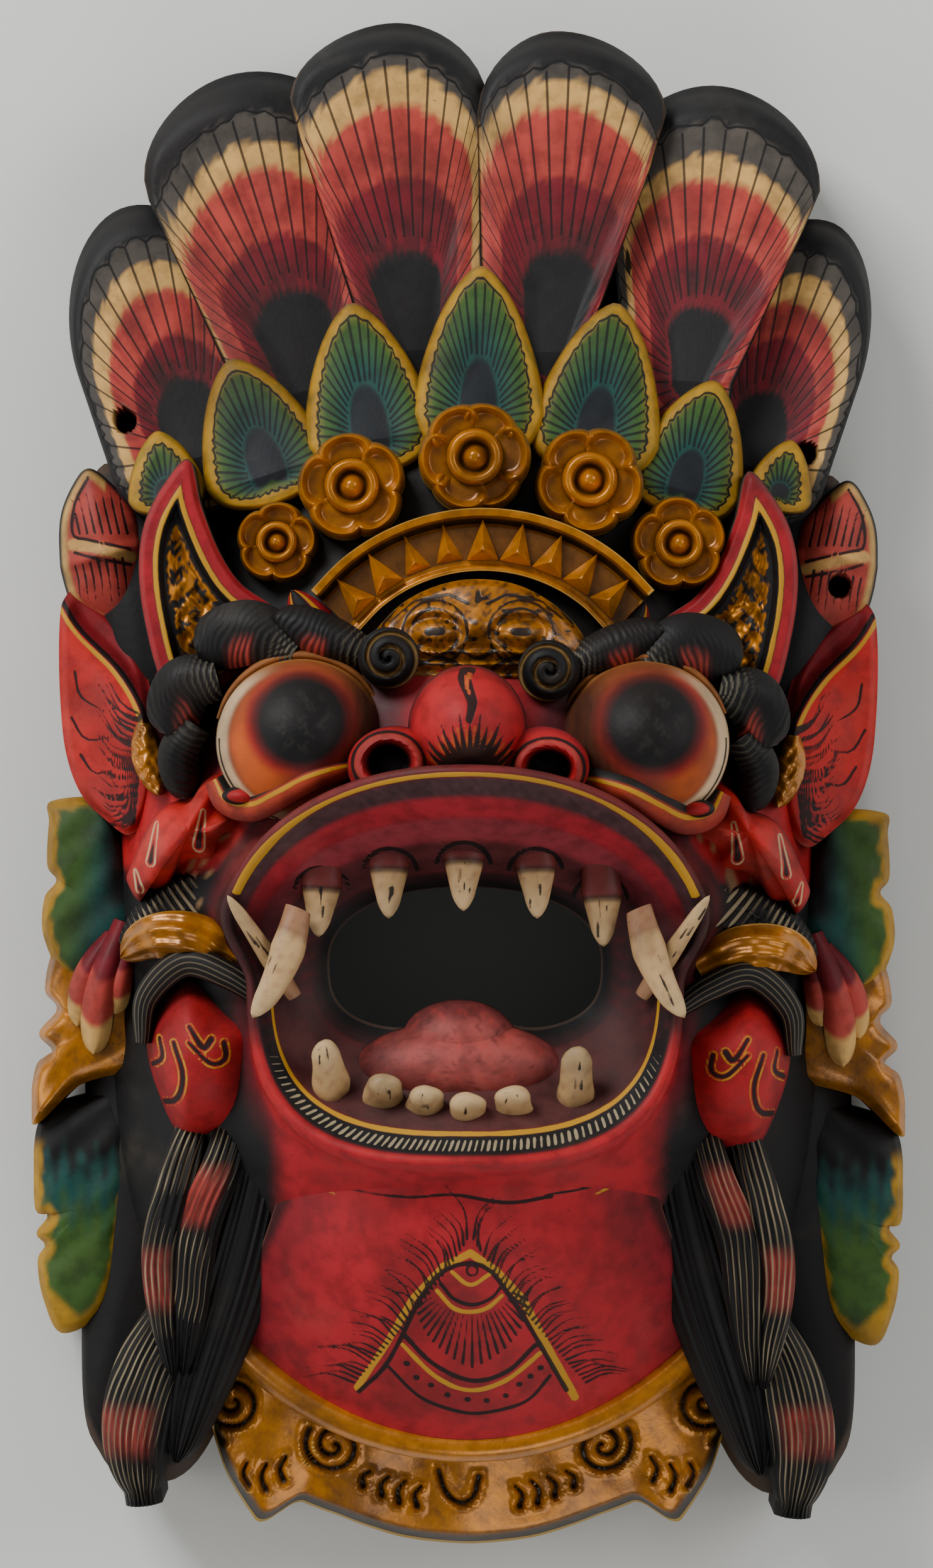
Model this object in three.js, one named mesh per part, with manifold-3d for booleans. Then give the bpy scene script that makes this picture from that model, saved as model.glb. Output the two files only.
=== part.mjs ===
// Carved and painted wooden mask of a lion-like guardian with a crown of feathers, in millimetres.
// It lies on its flat back rim: +X is the viewer's right, +Y runs up to the crown, +Z out of the face.
// The free carving is laid out in shares of the mask's height; walls, holes and fits are real sizes.
import * as THREE from "three";
import Module from "manifold-3d";

const maskHeight = 500;
const carvingUnits = 500; // the carving's coordinates below count the height as this many units
const wallThickness = 13; // wood left between the hollow and the carved face
const rimWidth = 14; // flat back rim that touches the wall or the table
const cordHoleDiameter = 7;
const toothClearance = 0.3; // gap all round a tooth in its socket
const toothSides = 6;
const toothPegDepth = 5; // how deep each tooth is let into the gum
const meshTolerance = 0.25; // slivers thinner than this are merged away

const wasm = await Module();
wasm.setup();
const unit = maskHeight / carvingUnits;
const sides = [
  ["left", -1],
  ["right", 1],
];

const lerp = (a, b, t) => a + (b - a) * t;
const rad = THREE.MathUtils.degToRad;
const evenly = (steps, from, to) => Array.from({ length: steps + 1 }, (_, i) => lerp(from, to, i / steps));
const curveThrough = (points) =>
  new THREE.CatmullRomCurve3(
    points.map(([x, y, z]) => new THREE.Vector3(x * unit, y * unit, z * unit)),
    false,
    "centripetal",
  );

// Closed solid from loops of equal length; a ring of loops joins its last to its first.
function solidFromLoops(loops, ring = false) {
  const n = loops[0].length;
  const vertices = loops.flat().flatMap((p) => [p.x, p.y, p.z]);
  const faces = [];
  const spans = ring ? loops.length : loops.length - 1;
  for (let r = 0; r < spans; r++) {
    const next = (r + 1) % loops.length;
    for (let i = 0; i < n; i++) {
      const j = (i + 1) % n;
      faces.push([r * n + i, r * n + j, next * n + j]);
      faces.push([r * n + i, next * n + j, next * n + i]);
    }
  }
  if (!ring)
    for (const [loop, turned] of [
      [0, true],
      [loops.length - 1, false],
    ]) {
      const centre = new THREE.Vector3();
      loops[loop].forEach((p) => centre.addScaledVector(p, 1 / n));
      vertices.push(centre.x, centre.y, centre.z);
      const hub = vertices.length / 3 - 1;
      for (let i = 0; i < n; i++) {
        const j = (i + 1) % n;
        const edge = [loop * n + i, loop * n + j];
        faces.push(turned ? [hub, edge[1], edge[0]] : [hub, edge[0], edge[1]]);
      }
    }
  const made = manifoldOf(vertices, faces);
  return made.volume() < 0
    ? manifoldOf(vertices, faces.map(([a, b, c]) => [a, c, b]))
    : made;
}

function manifoldOf(vertices, faces) {
  return new wasm.Manifold(
    new wasm.Mesh({
      numProp: 3,
      vertProperties: new Float32Array(vertices),
      triVerts: new Uint32Array(faces.flat()),
    }),
  );
}

const joined = (solids) => solids.reduce((all, one) => all.add(one));

// A carved strip along a crest line: arched across, upright at its edges, flat underneath.
function strip({ crest, halfWidth, drop, floor, sections = 7, across = 4, ease = 1 }) {
  const curve = curveThrough(crest);
  const loops = [];
  for (let s = 0; s < sections; s++) {
    const t = 1 - (1 - s / (sections - 1)) ** ease;
    const c = curve.getPoint(t);
    const along = curve.getTangent(t).setZ(0).normalize();
    const side = new THREE.Vector3(-along.y, along.x, 0);
    const w = halfWidth(t) * unit;
    const at = (u) => c.clone().addScaledVector(side, w * u);
    const top = evenly(across, -1, 1).map((u) => {
      const p = at(u);
      return p.setZ(p.z - drop(t) * unit * u * u);
    });
    loops.push([...top, ...[1, -1].map((u) => at(u).setZ(floor * unit))]);
  }
  return solidFromLoops(loops);
}

// Half-width along a leaf: it opens from its root to its shoulder, then closes to its tip.
function leafWidth(half, root, shoulder, roundness, tip = 0.5) {
  return (t) => {
    const open = lerp(root, 1, Math.sin((Math.min(t / shoulder, 1) * Math.PI) / 2));
    const far = Math.max((t - shoulder) / (1 - shoulder), 0);
    const close = (1 - far ** roundness) ** (1 / roundness);
    return Math.max(half * open * close, tip);
  };
}

// A low boss over a star-shaped outline, given as radius at each angle, with rings of [share, height].
function boss({ centre, radius, rings, count = 15, floor }) {
  const loops = [[1, floor], ...rings].map(([share, z]) => {
    const loop = [];
    for (let i = 0; i < count; i++) {
      const a = (i / count) * 2 * Math.PI;
      const r = radius(a) * share * unit;
      loop.push(
        new THREE.Vector3(
          centre[0] * unit + r * Math.cos(a),
          centre[1] * unit + r * Math.sin(a),
          z * unit,
        ),
      );
    }
    return loop;
  });
  return solidFromLoops(loops);
}

// A slab over an outline of corner points, domed towards its middle.
function slab({ outline, middle, edge, top, floor, levels = [1, 0.72, 0.36] }) {
  const loops = [
    outline.map(([x, y]) => new THREE.Vector3(x, y, floor).multiplyScalar(unit)),
    ...levels.map((share) =>
      outline.map(([x, y]) =>
        new THREE.Vector3(
          lerp(middle[0], x, share),
          lerp(middle[1], y, share),
          lerp(top, edge, share ** 2),
        ).multiplyScalar(unit),
      ),
    ),
  ];
  return solidFromLoops(loops);
}

function ellipsoid(centre, radii, widthSegments = 18, heightSegments = 10) {
  const loops = [];
  for (let r = 0; r <= heightSegments; r++) {
    const lift = Math.max(Math.min(r, heightSegments - 0.15), 0.15) / heightSegments;
    const polar = (lift - 0.5) * Math.PI;
    const loop = [];
    for (let i = 0; i < widthSegments; i++) {
      const a = (i / widthSegments) * 2 * Math.PI;
      loop.push(
        new THREE.Vector3(
          (centre[0] + radii[0] * Math.cos(polar) * Math.cos(a)) * unit,
          (centre[1] + radii[1] * Math.cos(polar) * Math.sin(a)) * unit,
          (centre[2] + radii[2] * Math.sin(polar)) * unit,
        ),
      );
    }
    loops.push(loop);
  }
  return solidFromLoops(loops);
}

// The right side of the carving sits a little lower than the left.
const rightSideDrop = 3;
const mirrored = (points, side) =>
  points.map(([x, y, ...z]) => [x * side, side > 0 ? y - rightSideDrop : y + 1, ...z]);

// Head shell: loops round the mouth from the throat of the hole, over the lips and the face, to the
// back rim and up inside the hollow. Each row: half-width above and below the corners of the mouth,
// reach up, reach down, then z above, beside and below the mouth.
const mouth = { x: -1, y: -57, squareAbove: 2.15, squareBelow: 3 };
const mouthHole = { halfWidth: 43, up: 24, down: 22, tongueBump: 8, tongueWidth: 13 };
const faceLoops = [
  [mouthHole.halfWidth, mouthHole.halfWidth, mouthHole.up, mouthHole.down, 97, 88, 92],
  [54, 52, 33, 34, 112, 92, 104],
  [64, 58, 43, 46, 130, 98, 115],
  [71, 62, 52, 54, 143, 104, 122],
  [76, 66, 59.5, 59.5, 151, 109, 128],
  [79, 68.5, 62.5, 63, 147, 106, 125],
  [80, 69, 62, 68, 128, 92, 114],
  [92, 84, 80, 90, 108, 80, 84],
  [106, 102, 122, 122, 90, 62, 58],
  [114, 114, 168, 150, 62, 44, 46],
  [118, 118, 196, 160, 44, 30, 36],
];
// The hollow follows some of these loops, each moved in and sunk by a share of the wall.
const hollowLoops = [
  { follows: 9, inset: 1, sink: 1 },
  { follows: 8, inset: 0.8, sink: 1 },
  { follows: 7, inset: 0.8, sink: 1 },
  { follows: 2, inset: 0.15, sink: 1.6 },
  { follows: 0, inset: -0.1, sink: 1 },
];
const shellSegments = 28;

// Distance from the mouth's centre to a rounded-square loop; the half-width changes at the corners.
function superRadius(a, halfAbove, halfBelow, up, down) {
  const halfWidth = lerp(halfBelow, halfAbove, THREE.MathUtils.smoothstep(Math.sin(a), -0.1, 0.25));
  const reach = Math.sin(a) > 0 ? up : down;
  const n = Math.sin(a) > 0 ? mouth.squareAbove : mouth.squareBelow;
  const across = Math.abs(Math.cos(a) / halfWidth) ** n;
  return (across + Math.abs(Math.sin(a) / reach) ** n) ** (-1 / n);
}

function faceLoop([halfAbove, halfBelow, up, down, zAbove, zBeside, zBelow], bump = 0) {
  const loop = [];
  for (let i = 0; i < shellSegments; i++) {
    const a = (i / shellSegments) * 2 * Math.PI;
    const r = superRadius(a, halfAbove, halfBelow, up, down);
    const x = r * Math.cos(a);
    const y = r * Math.sin(a);
    const lift = y < 0 ? bump * Math.exp(-((x / mouthHole.tongueWidth) ** 2)) : 0;
    const share = Math.sin(a) ** 2;
    const z = lerp(zBeside, y > 0 ? zAbove : zBelow, share);
    loop.push(
      new THREE.Vector3(mouth.x + x, mouth.y + y + lift, z).multiplyScalar(unit),
    );
  }
  return loop;
}

const flatLoop = (row, z) => faceLoop([...row.slice(0, 4), z, z, z]);

function headBlock() {
  const outer = faceLoops.map((row, i) => faceLoop(row, i === 0 ? mouthHole.tongueBump : 0));
  return solidFromLoops([...outer, flatLoop(faceLoops.at(-1), 0), flatLoop(faceLoops[0], 0)], true);
}

function hollowSpace() {
  const wall = wallThickness / unit;
  const rim = faceLoops.at(-1).map((size) => size - rimWidth / unit);
  return solidFromLoops([
    flatLoop(rim, -1),
    flatLoop(rim, 8),
    ...hollowLoops.map(({ follows, inset, sink }) => {
      const row = faceLoops[follows];
      const sizes = row.slice(0, 4).map((size) => size - inset * wall);
      return faceLoop([...sizes, ...row.slice(4).map((z) => z - sink * wall)]);
    }),
  ]);
}

// Crown of six broad feathers: root, middle and tip of each crest, its half-width and its height.
const crownFeathers = [
  { crest: [[-100, 86], [-110, 136], [-113, 192]], half: 22, height: 37 },
  { crest: [[-50, 112], [-70, 172], [-83, 234]], half: 30, height: 42 },
  { crest: [[-12, 112], [-23, 180], [-29, 249.2]], half: 31.5, height: 46 },
  { crest: [[27, 112], [32, 180], [32, 246]], half: 32, height: 45 },
  { crest: [[62, 112], [77, 167], [89, 230]], half: 30, height: 41 },
  { crest: [[102, 84], [111, 134], [121, 186]], half: 22, height: 36 },
];
const featherEdge = { drop: 9, floor: 12, rootRise: 13, tipShare: 0.3 };
const crownBack = {
  outline: [[112, 84], [124, 104], [119, 150], [70, 196], [0, 208], [-70, 196], [-119, 150], [-124, 104], [-112, 84]],
  middle: [0, 120],
};

function crownFeather({ crest, half, height }) {
  const rise = [featherEdge.rootRise, featherEdge.rootRise / 3, 0];
  return strip({
    crest: crest.map(([x, y], i) => [x, y, height + rise[i]]),
    halfWidth: leafWidth(half, 0.62, 0.76, 2.1, half * featherEdge.tipShare),
    drop: () => featherEdge.drop,
    floor: featherEdge.floor,
    sections: 8,
    ease: 1.7,
  });
}

// Second row of pointed leaves, and a small one at each end behind the horns.
const crownLeaves = [
  { crest: [[-96, 88], [-101, 114]], half: 14 },
  { crest: [[-58, 84], [-76, 137]], half: 21 },
  { crest: [[-29, 98], [-38, 155]], half: 21.5 },
  { crest: [[3, 104], [4, 167]], half: 21.5 },
  { crest: [[37, 98], [48, 155]], half: 21.5 },
  { crest: [[66, 82], [80, 130]], half: 18 },
  { crest: [[99, 86], [105, 110]], half: 11 },
];
const leafCrest = { rootZ: 76, tipZ: 60, drop: 5, floor: 30 };

function crownLeaf({ crest: [root, tip], half }) {
  return strip({
    crest: [
      [...root, leafCrest.rootZ],
      [...tip, leafCrest.tipZ],
    ],
    halfWidth: leafWidth(half, 0.9, 0.25, 1.75),
    drop: () => leafCrest.drop,
    floor: leafCrest.floor,
    sections: 5,
    ease: 1.3,
    across: 2,
  });
}

// Gilded flowers in front of the leaves.
const flowers = [
  { centre: [-61, 76], radius: 15, top: 84 },
  { centre: [-37, 94], radius: 17.5, top: 88 },
  { centre: [2, 103], radius: 19, top: 91 },
  { centre: [38, 95], radius: 18, top: 88 },
  { centre: [67, 75], radius: 16, top: 84 },
];
const flowerForm = { petals: 5, notch: 0.24, floor: 54, cupDepth: 5, eyeShare: 0.4 };

function flower({ centre, radius, top }) {
  const phase = Math.PI / (flowerForm.petals * 3);
  const petal = (a) => {
    const lobe = Math.abs(Math.cos((flowerForm.petals * (a + phase)) / 2));
    return radius * (1 - flowerForm.notch * (1 - lobe) ** 1.5);
  };
  const round = () => radius * flowerForm.eyeShare;
  const cup = boss({
    centre,
    radius: petal,
    floor: flowerForm.floor,
    count: flowerForm.petals * 3,
    rings: [
      [1, top - 5],
      [0.86, top],
      [0.5, top - flowerForm.cupDepth],
    ],
  });
  const eye = boss({
    centre,
    radius: round,
    floor: top - 9,
    count: 8,
    rings: [
      [1, top - 1],
      [0.6, top + 2],
    ],
  });
  return cup.add(eye);
}

// Gilded diadem: a band bent over the small face, with a raised rim and a row of pointed teeth.
const diadem = { x: 4.5, y: 17, inner: 50, outer: 69, from: 38, to: 142, z: 86, rim: 4.6, teeth: 8 };

function arcPoints(radius, z, from, to) {
  return evenly(6, from, to).map((turn) => {
    const a = rad(turn);
    return [diadem.x + radius * Math.cos(a), diadem.y + radius * Math.sin(a), z];
  });
}

function diademBand() {
  const { inner, outer, from, to, z, rim, teeth } = diadem;
  const band = strip({
    crest: arcPoints((inner + outer) / 2, z, from, to),
    halfWidth: () => (outer - inner) / 2,
    drop: () => 0,
    floor: 60,
    sections: 8,
    across: 1,
  });
  const edge = strip({
    crest: arcPoints(outer, z + rim, from, to),
    halfWidth: () => 2.2,
    drop: () => 2,
    floor: z - 6,
    sections: 8,
    across: 1,
  });
  const step = (to - from - 6) / teeth;
  const points = Array.from({ length: teeth }, (_, i) => {
    const a = rad(from + 3 + step * (i + 0.5));
    const halfStep = rad(step) * 0.42;
    const at = (r, turn, height) =>
      new THREE.Vector3(
        diadem.x + r * Math.cos(a + turn),
        diadem.y + r * Math.sin(a + turn),
        height,
      ).multiplyScalar(unit);
    const base = [at(outer - 4, 0, z - 2), at(inner + 1, -halfStep, z - 2), at(inner + 1, halfStep, z - 2)];
    const lifted = [at(outer - 5, 0, z + 2), at(inner + 3, -0.01, z + 6), at(inner + 3, 0.01, z + 6)];
    return solidFromLoops([base, lifted]);
  });
  return joined([band, edge, ...points]);
}

// Small gilded guardian face under the diadem, between the brows.
const crest = { x: 3, y: 40, halfWidth: 34, up: 22, z: 106 };

function crestFace() {
  const shield = boss({
    centre: [crest.x, crest.y],
    radius: (a) => superRadius(a, crest.halfWidth, crest.halfWidth, crest.up, 8),
    floor: 70,
    count: 12,
    rings: [
      [1, crest.z - 8],
      [0.8, crest.z - 2],
      [0.4, crest.z],
    ],
  });
  const eyes = sides.map(([, s]) =>
    ellipsoid([crest.x + s * 14, crest.y + 7, crest.z - 2], [9, 5, 6], 7, 4),
  );
  return joined([shield, ...eyes, ellipsoid([crest.x, crest.y + 11, crest.z], [5, 6, 6], 6, 4)]);
}

// Horn-shaped wing over each brow, and the small red peak beside it.
const horn = {
  outline: [[89, 102], [97, 94], [103, 82], [105, 68], [103, 50], [97, 30], [86, 24], [70, 34], [58, 46],
    [61, 54], [72, 62], [79, 72], [85, 87]],
  middle: [91, 54],
};
const hornPeak = [[42, 38, 86], [50, 50, 88], [56, 60, 86]];

function hornWing(side) {
  return slab({
    outline: mirrored(horn.outline, side),
    middle: [horn.middle[0] * side, horn.middle[1]],
    edge: 84,
    top: 78,
    floor: 25,
    levels: [1, 0.75],
  }).add(
    strip({
      crest: mirrored(hornPeak, side),
      halfWidth: leafWidth(8, 0.8, 0.3, 1.6),
      drop: () => 3,
      floor: 55,
      sections: 6,
      across: 2,
    }),
  );
}

// Folded tuft above each ear, the pointed ear itself and its gilded stud.
const earTuft = {
  outline: [[124, 102], [130, 96], [134, 84], [133, 66], [127, 54], [112, 50], [106, 62], [107, 84], [114, 94]],
  middle: [119, 76],
};
const ear = { crest: [[106, -18, 54], [113, 14, 58], [133, 62, 50]], half: 21 };
const earStud = { crest: [[102, 26, 74], [103, 14, 76], [100, 3, 76]], half: 6 };
const earPanel = {
  outline: [[84, 92], [112, 104], [124, 98], [128, 62], [129, 20], [124, -12], [104, -36], [84, -10], [76, 40]],
  middle: [104, 34],
};

function earParts(side) {
  return joined([
    slab({
      outline: mirrored(earPanel.outline, side),
      middle: [earPanel.middle[0] * side, earPanel.middle[1]],
      edge: 34,
      top: 50,
      floor: 8,
      levels: [1],
    }),
    slab({
      outline: mirrored(earTuft.outline, side),
      middle: [earTuft.middle[0] * side, earTuft.middle[1]],
      edge: 38,
      top: 50,
      floor: 10,
      levels: [1, 0.6],
    }),
    strip({
      crest: mirrored(ear.crest, side),
      halfWidth: leafWidth(ear.half, 0.75, 0.4, 1.7),
      drop: () => 7,
      floor: 14,
      sections: 8,
      across: 2,
    }),
    strip({
      crest: mirrored(earStud.crest, side),
      halfWidth: leafWidth(earStud.half, 0.7, 0.5, 2),
      drop: () => 4,
      floor: 40,
      sections: 5,
      across: 2,
    }),
  ]);
}

// Brow of four overlapping tufts that rounds the eye, from a curl beside the nose.
const browTufts = [
  { crest: [[33, 40, 106], [48, 46, 108], [64, 49, 105]], half: 9 },
  { crest: [[56, 47, 108], [69, 46, 108], [82, 40, 102]], half: 11 },
  { crest: [[74, 41, 104], [85, 33, 101], [92, 18, 95]], half: 11 },
  { crest: [[88, 26, 100], [92, 12, 96], [90, -4, 87]], half: 9.5 },
];
const browCurl = { centre: [25, 38], radius: 11, top: 114 };

function brow(side) {
  const tufts = browTufts.map(({ crest: line, half }) =>
    strip({
      crest: mirrored(line, side),
      halfWidth: leafWidth(half, 0.55, 0.55, 2.2, half * 0.3),
      drop: () => 6,
      floor: 60,
      sections: 5,
      across: 2,
    }),
  );
  const { centre, radius, top } = browCurl;
  const curl = boss({
    centre: [centre[0] * side, centre[1]],
    radius: () => radius,
    floor: 70,
    count: 9,
    rings: [
      [1, top - 5],
      [0.7, top],
      [0.4, top - 4],
    ],
  });
  return joined([...tufts, curl]);
}

// Bulging eyes, the round nose with its open nostrils, and the flame-shaped cheeks.
const eye = { x: 54.5, y: 13, z: 96, radii: [26, 25, 33] };
const nose = { centre: [1, 18, 116], radii: [21, 23, 36] };
const nostril = { x: 23, y: 6, z: 122, radii: [13, 11, 19], hole: { x: 25, z: 141, radii: [6, 6, 14] } };
const cheekFlame = {
  outline: [[66, -18], [78, 2], [92, 6], [101, -8], [109, -27], [108, -39], [99, -36], [92, -30], [82, -36],
    [72, -34]],
  middle: [87, -16],
};
const lowerCheek = {
  outline: [[67, -78], [78, -68], [91, -63], [103, -70], [108, -84], [105, -100], [95, -113], [82, -116],
    [71, -105], [66, -92]],
  middle: [86, -89],
};
const moustacheRoll = [[73, -57, 88], [86, -51, 93], [100, -51, 90], [111, -58, 76]];

function cheeks(side) {
  const pad = ({ outline, middle }, edge, top) =>
    slab({
      outline: mirrored(outline, side),
      middle: [middle[0] * side, middle[1]],
      edge,
      top,
      floor: 45,
      levels: [1, 0.55],
    });
  return joined([
    pad(cheekFlame, 78, 100),
    pad(lowerCheek, 70, 98),
    strip({
      crest: mirrored(moustacheRoll, side),
      halfWidth: leafWidth(7, 0.7, 0.4, 2),
      drop: () => 5,
      floor: 45,
      sections: 5,
      across: 2,
    }),
  ]);
}

// Tongue, throat, collar roll and the carved collar flaps below it.
const tongue = [
  { centre: [-1, -90, 92], radii: [31, 15, 19] },
  { centre: [-1, -80, 92], radii: [15, 12, 15] },
];
const throat = {
  crest: [[0, -114, 116], [0, -146, 104], [0, -180, 70]],
  half: [60, 79],
  drop: [30, 20],
  bow: 31,
  floor: 22,
};
const collarArc = { y: -109.5, radius: 104, spread: 49, z: 71, half: 5 };
// The plate's lower edge, as [turn from straight down, distance from the arc's centre].
const collarEdge = [[-48, 114], [-42, 128], [-34, 142], [-27, 151], [-24, 138], [-18, 138], [-9, 140], [0, 140.5]];
const collarPlate = { inner: 80, innerZ: 56, outerZ: 36, floor: 10 };

function throatAndCollar() {
  const point = (turn) => {
    const a = rad(-90 + turn);
    const r = collarArc.radius;
    const z = collarArc.z - 14 * (turn / collarArc.spread) ** 2;
    return [r * Math.cos(a), collarArc.y + r * Math.sin(a), z];
  };
  return joined([
    throatFront(),
    strip({
      crest: evenly(6, -collarArc.spread, collarArc.spread).map(point),
      halfWidth: () => collarArc.half,
      drop: () => 4,
      floor: 30,
      sections: 10,
      across: 2,
    }),
    collarFlaps(),
  ]);
}

// Bulging front of the throat: it widens, sinks and bows down towards the collar.
function throatFront() {
  const curve = curveThrough(throat.crest);
  const at = (u, t) => {
    const p = curve.getPoint(t);
    const x = u * lerp(...throat.half, t) * unit;
    const y = p.y - throat.bow * t * (1 - u * u) * unit;
    return new THREE.Vector3(x, y, p.z - lerp(...throat.drop, t) * u * u * unit);
  };
  return solidFromLoops(
    evenly(8, -1, 1).map((u) => [
      ...evenly(5, 0, 1).map((t) => at(u, t)),
      at(u, 1).setZ(throat.floor * unit),
      at(u, 0).setZ(throat.floor * unit),
    ]),
  );
}

// The carved plate below the collar roll: a fan whose lower edge follows collarEdge.
function collarFlaps() {
  const edge = [...collarEdge, ...collarEdge.slice(0, -1).reverse().map(([turn, r]) => [-turn, r])];
  const at = (turn, r, z) => {
    const a = rad(-90 + turn);
    return new THREE.Vector3(r * Math.cos(a), collarArc.y + r * Math.sin(a), z).multiplyScalar(unit);
  };
  const { inner, innerZ, outerZ, floor } = collarPlate;
  return solidFromLoops(
    edge.map(([turn, r]) => [
      at(turn, inner, floor),
      at(turn, inner, innerZ),
      at(turn, lerp(inner, r, 0.6), lerp(innerZ, outerZ, 0.45)),
      at(turn, r, outerZ),
      at(turn, r, floor),
    ]),
  );
}

// Twisted side locks over a dark backing panel, and the feathered leaves at each edge.
const locks = [
  { crest: [[90, -106, 86], [98, -160, 74], [106, -236, 48]], half: 17 },
  { crest: [[67, -92, 86], [77, -150, 78], [88, -224, 50]], half: 11 },
];
const backPanel = {
  outline: [[100, -44], [124, -56], [126, -120], [127, -200], [121, -222], [112, -230], [96, -230],
    [84, -216], [76, -190], [76, -120]],
  middle: [104, -140],
};
const sideLeaves = [
  {
    outline: [[131, -6], [137, -14], [138, -30], [135, -34], [139, -39], [139, -56], [128, -66],
      [104, -60], [102, -20]],
    middle: [122, -36],
    edge: 42,
    top: 52,
  },
  {
    outline: [[136, -50], [140, -70], [137, -75], [141, -80], [139, -88], [142, -94], [143, -116],
      [128, -112], [106, -108], [104, -56], [120, -46]],
    middle: [124, -80],
    edge: 38,
    top: 48,
  },
  {
    outline: [[142, -104], [143, -137], [138, -142], [142, -147], [140, -154], [142, -164], [138, -176],
      [131, -183], [118, -176], [112, -150], [108, -108], [122, -98]],
    middle: [126, -142],
    edge: 33,
    top: 42,
  },
];
const pinkFeather = { crest: [[117, -44, 56], [121, -66, 56], [124, -88, 48]], half: 8 };

function sideParts(side) {
  const hair = locks.map(({ crest: line, half }) =>
    strip({
      crest: mirrored(line, side),
      halfWidth: leafWidth(half, 0.7, 0.5, 3, half * 0.6),
      drop: () => 9,
      floor: 12,
      sections: 6,
      ease: 1.5,
      across: 3,
    }),
  );
  const pad = ({ outline, middle, edge, top, floor = 8 }) =>
    slab({
      outline: mirrored(outline, side),
      middle: [middle[0] * side, middle[1]],
      edge,
      top,
      floor,
      levels: [1, 0.6],
    });
  return joined([
    ...hair,
    pad({ ...backPanel, edge: 34, top: 46, floor: 0 }),
    ...sideLeaves.map(pad),
    strip({
      crest: mirrored(pinkFeather.crest, side),
      halfWidth: leafWidth(pinkFeather.half, 0.7, 0.5, 2.2),
      drop: () => 4,
      floor: 30,
      sections: 4,
      across: 2,
    }),
  ]);
}

// Teeth are separate pegs. Each row: root, tip, thickness across and through, and how blunt it is.
const teeth = [
  ...[[-46, -33], [-24.5, -27], [-1.5, -24.5], [21, -27], [41.5, -36]].map(([x, y], i) => ({
    name: `upper_tooth_${i + 1}`,
    root: [x, y, 122 - Math.abs(x) * 0.28],
    tip: [x * 1.02, y - 15.5, 117 - Math.abs(x) * 0.26],
    half: [6, 4.4],
    blunt: 0.2,
  })),
  ...sides.map(([word, s]) => ({
    name: `${word}_fang`,
    root: [s * 55, -44, 112],
    tip: [s * 67, -73, 120],
    half: [6, 3.2],
    blunt: 0.5,
  })),
  ...sides.map(([word, s]) => ({
    name: `${word}_tusk`,
    root: [s * 57, -63, 104],
    tip: [s * 75, -35, 116],
    half: [3.4, 2.6],
    blunt: 0.45,
  })),
  ...[[-43, -92, 8], [-27, -99, 5], [-13.5, -102, 5], [0.5, -103.5, 5], [15, -102, 5.2], [33, -97, 8]].map(
    ([x, y, half], i) => ({
      name: `lower_tooth_${i + 1}`,
      root: [x, y, 110 - Math.abs(x) * 0.12],
      tip: [x * 0.99, y + half * 1.4, 123 - Math.abs(x) * 0.12],
      half: [half * 0.86, half * 0.62],
      blunt: 0.6,
    }),
  ),
];

function toothSolid({ root, tip, half, blunt = 0.12 }, grow = 0) {
  const start = new THREE.Vector3(...root).multiplyScalar(unit);
  const end = new THREE.Vector3(...tip).multiplyScalar(unit);
  const axis = end.clone().sub(start).normalize();
  const across = new THREE.Vector3(0, 0, 1).cross(axis).normalize();
  const through = axis.clone().cross(across).normalize();
  start.addScaledVector(axis, -toothPegDepth - grow);
  end.addScaledVector(axis, grow);
  const profile = [
    [0, 0.8],
    [0.35, 1],
    [0.8, lerp(0.6, 0.88, blunt)],
    [1, blunt],
  ];
  const loops = profile.map(([t, share]) => {
    const c = start.clone().lerp(end, t);
    return Array.from({ length: toothSides }, (_, i) => {
      const a = (i / toothSides) * 2 * Math.PI;
      return c
        .clone()
        .addScaledVector(across, Math.cos(a) * (half[0] * unit * share + grow))
        .addScaledVector(through, Math.sin(a) * (half[1] * unit * share + grow));
    });
  });
  return solidFromLoops(loops);
}

// Small holes right through the edges, for the cords that tie the mask.
const cordHoles = [
  [-112, 118],
  [110, 107],
  [121, 64],
];

function cordHole([x, y]) {
  const r = cordHoleDiameter / 2;
  return solidFromLoops(
    [-10, maskHeight / 2].map((z) =>
      Array.from({ length: 10 }, (_, i) => {
        const a = (i / 10) * 2 * Math.PI;
        return new THREE.Vector3(x * unit + r * Math.cos(a), y * unit + r * Math.sin(a), z);
      }),
    ),
  );
}

function nostrilWing(side) {
  return ellipsoid([side * nostril.x, nostril.y, nostril.z], nostril.radii, 10, 6);
}

function nostrilHole(side) {
  return ellipsoid([side * nostril.hole.x, nostril.y, nostril.hole.z], nostril.hole.radii, 7, 4);
}

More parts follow.
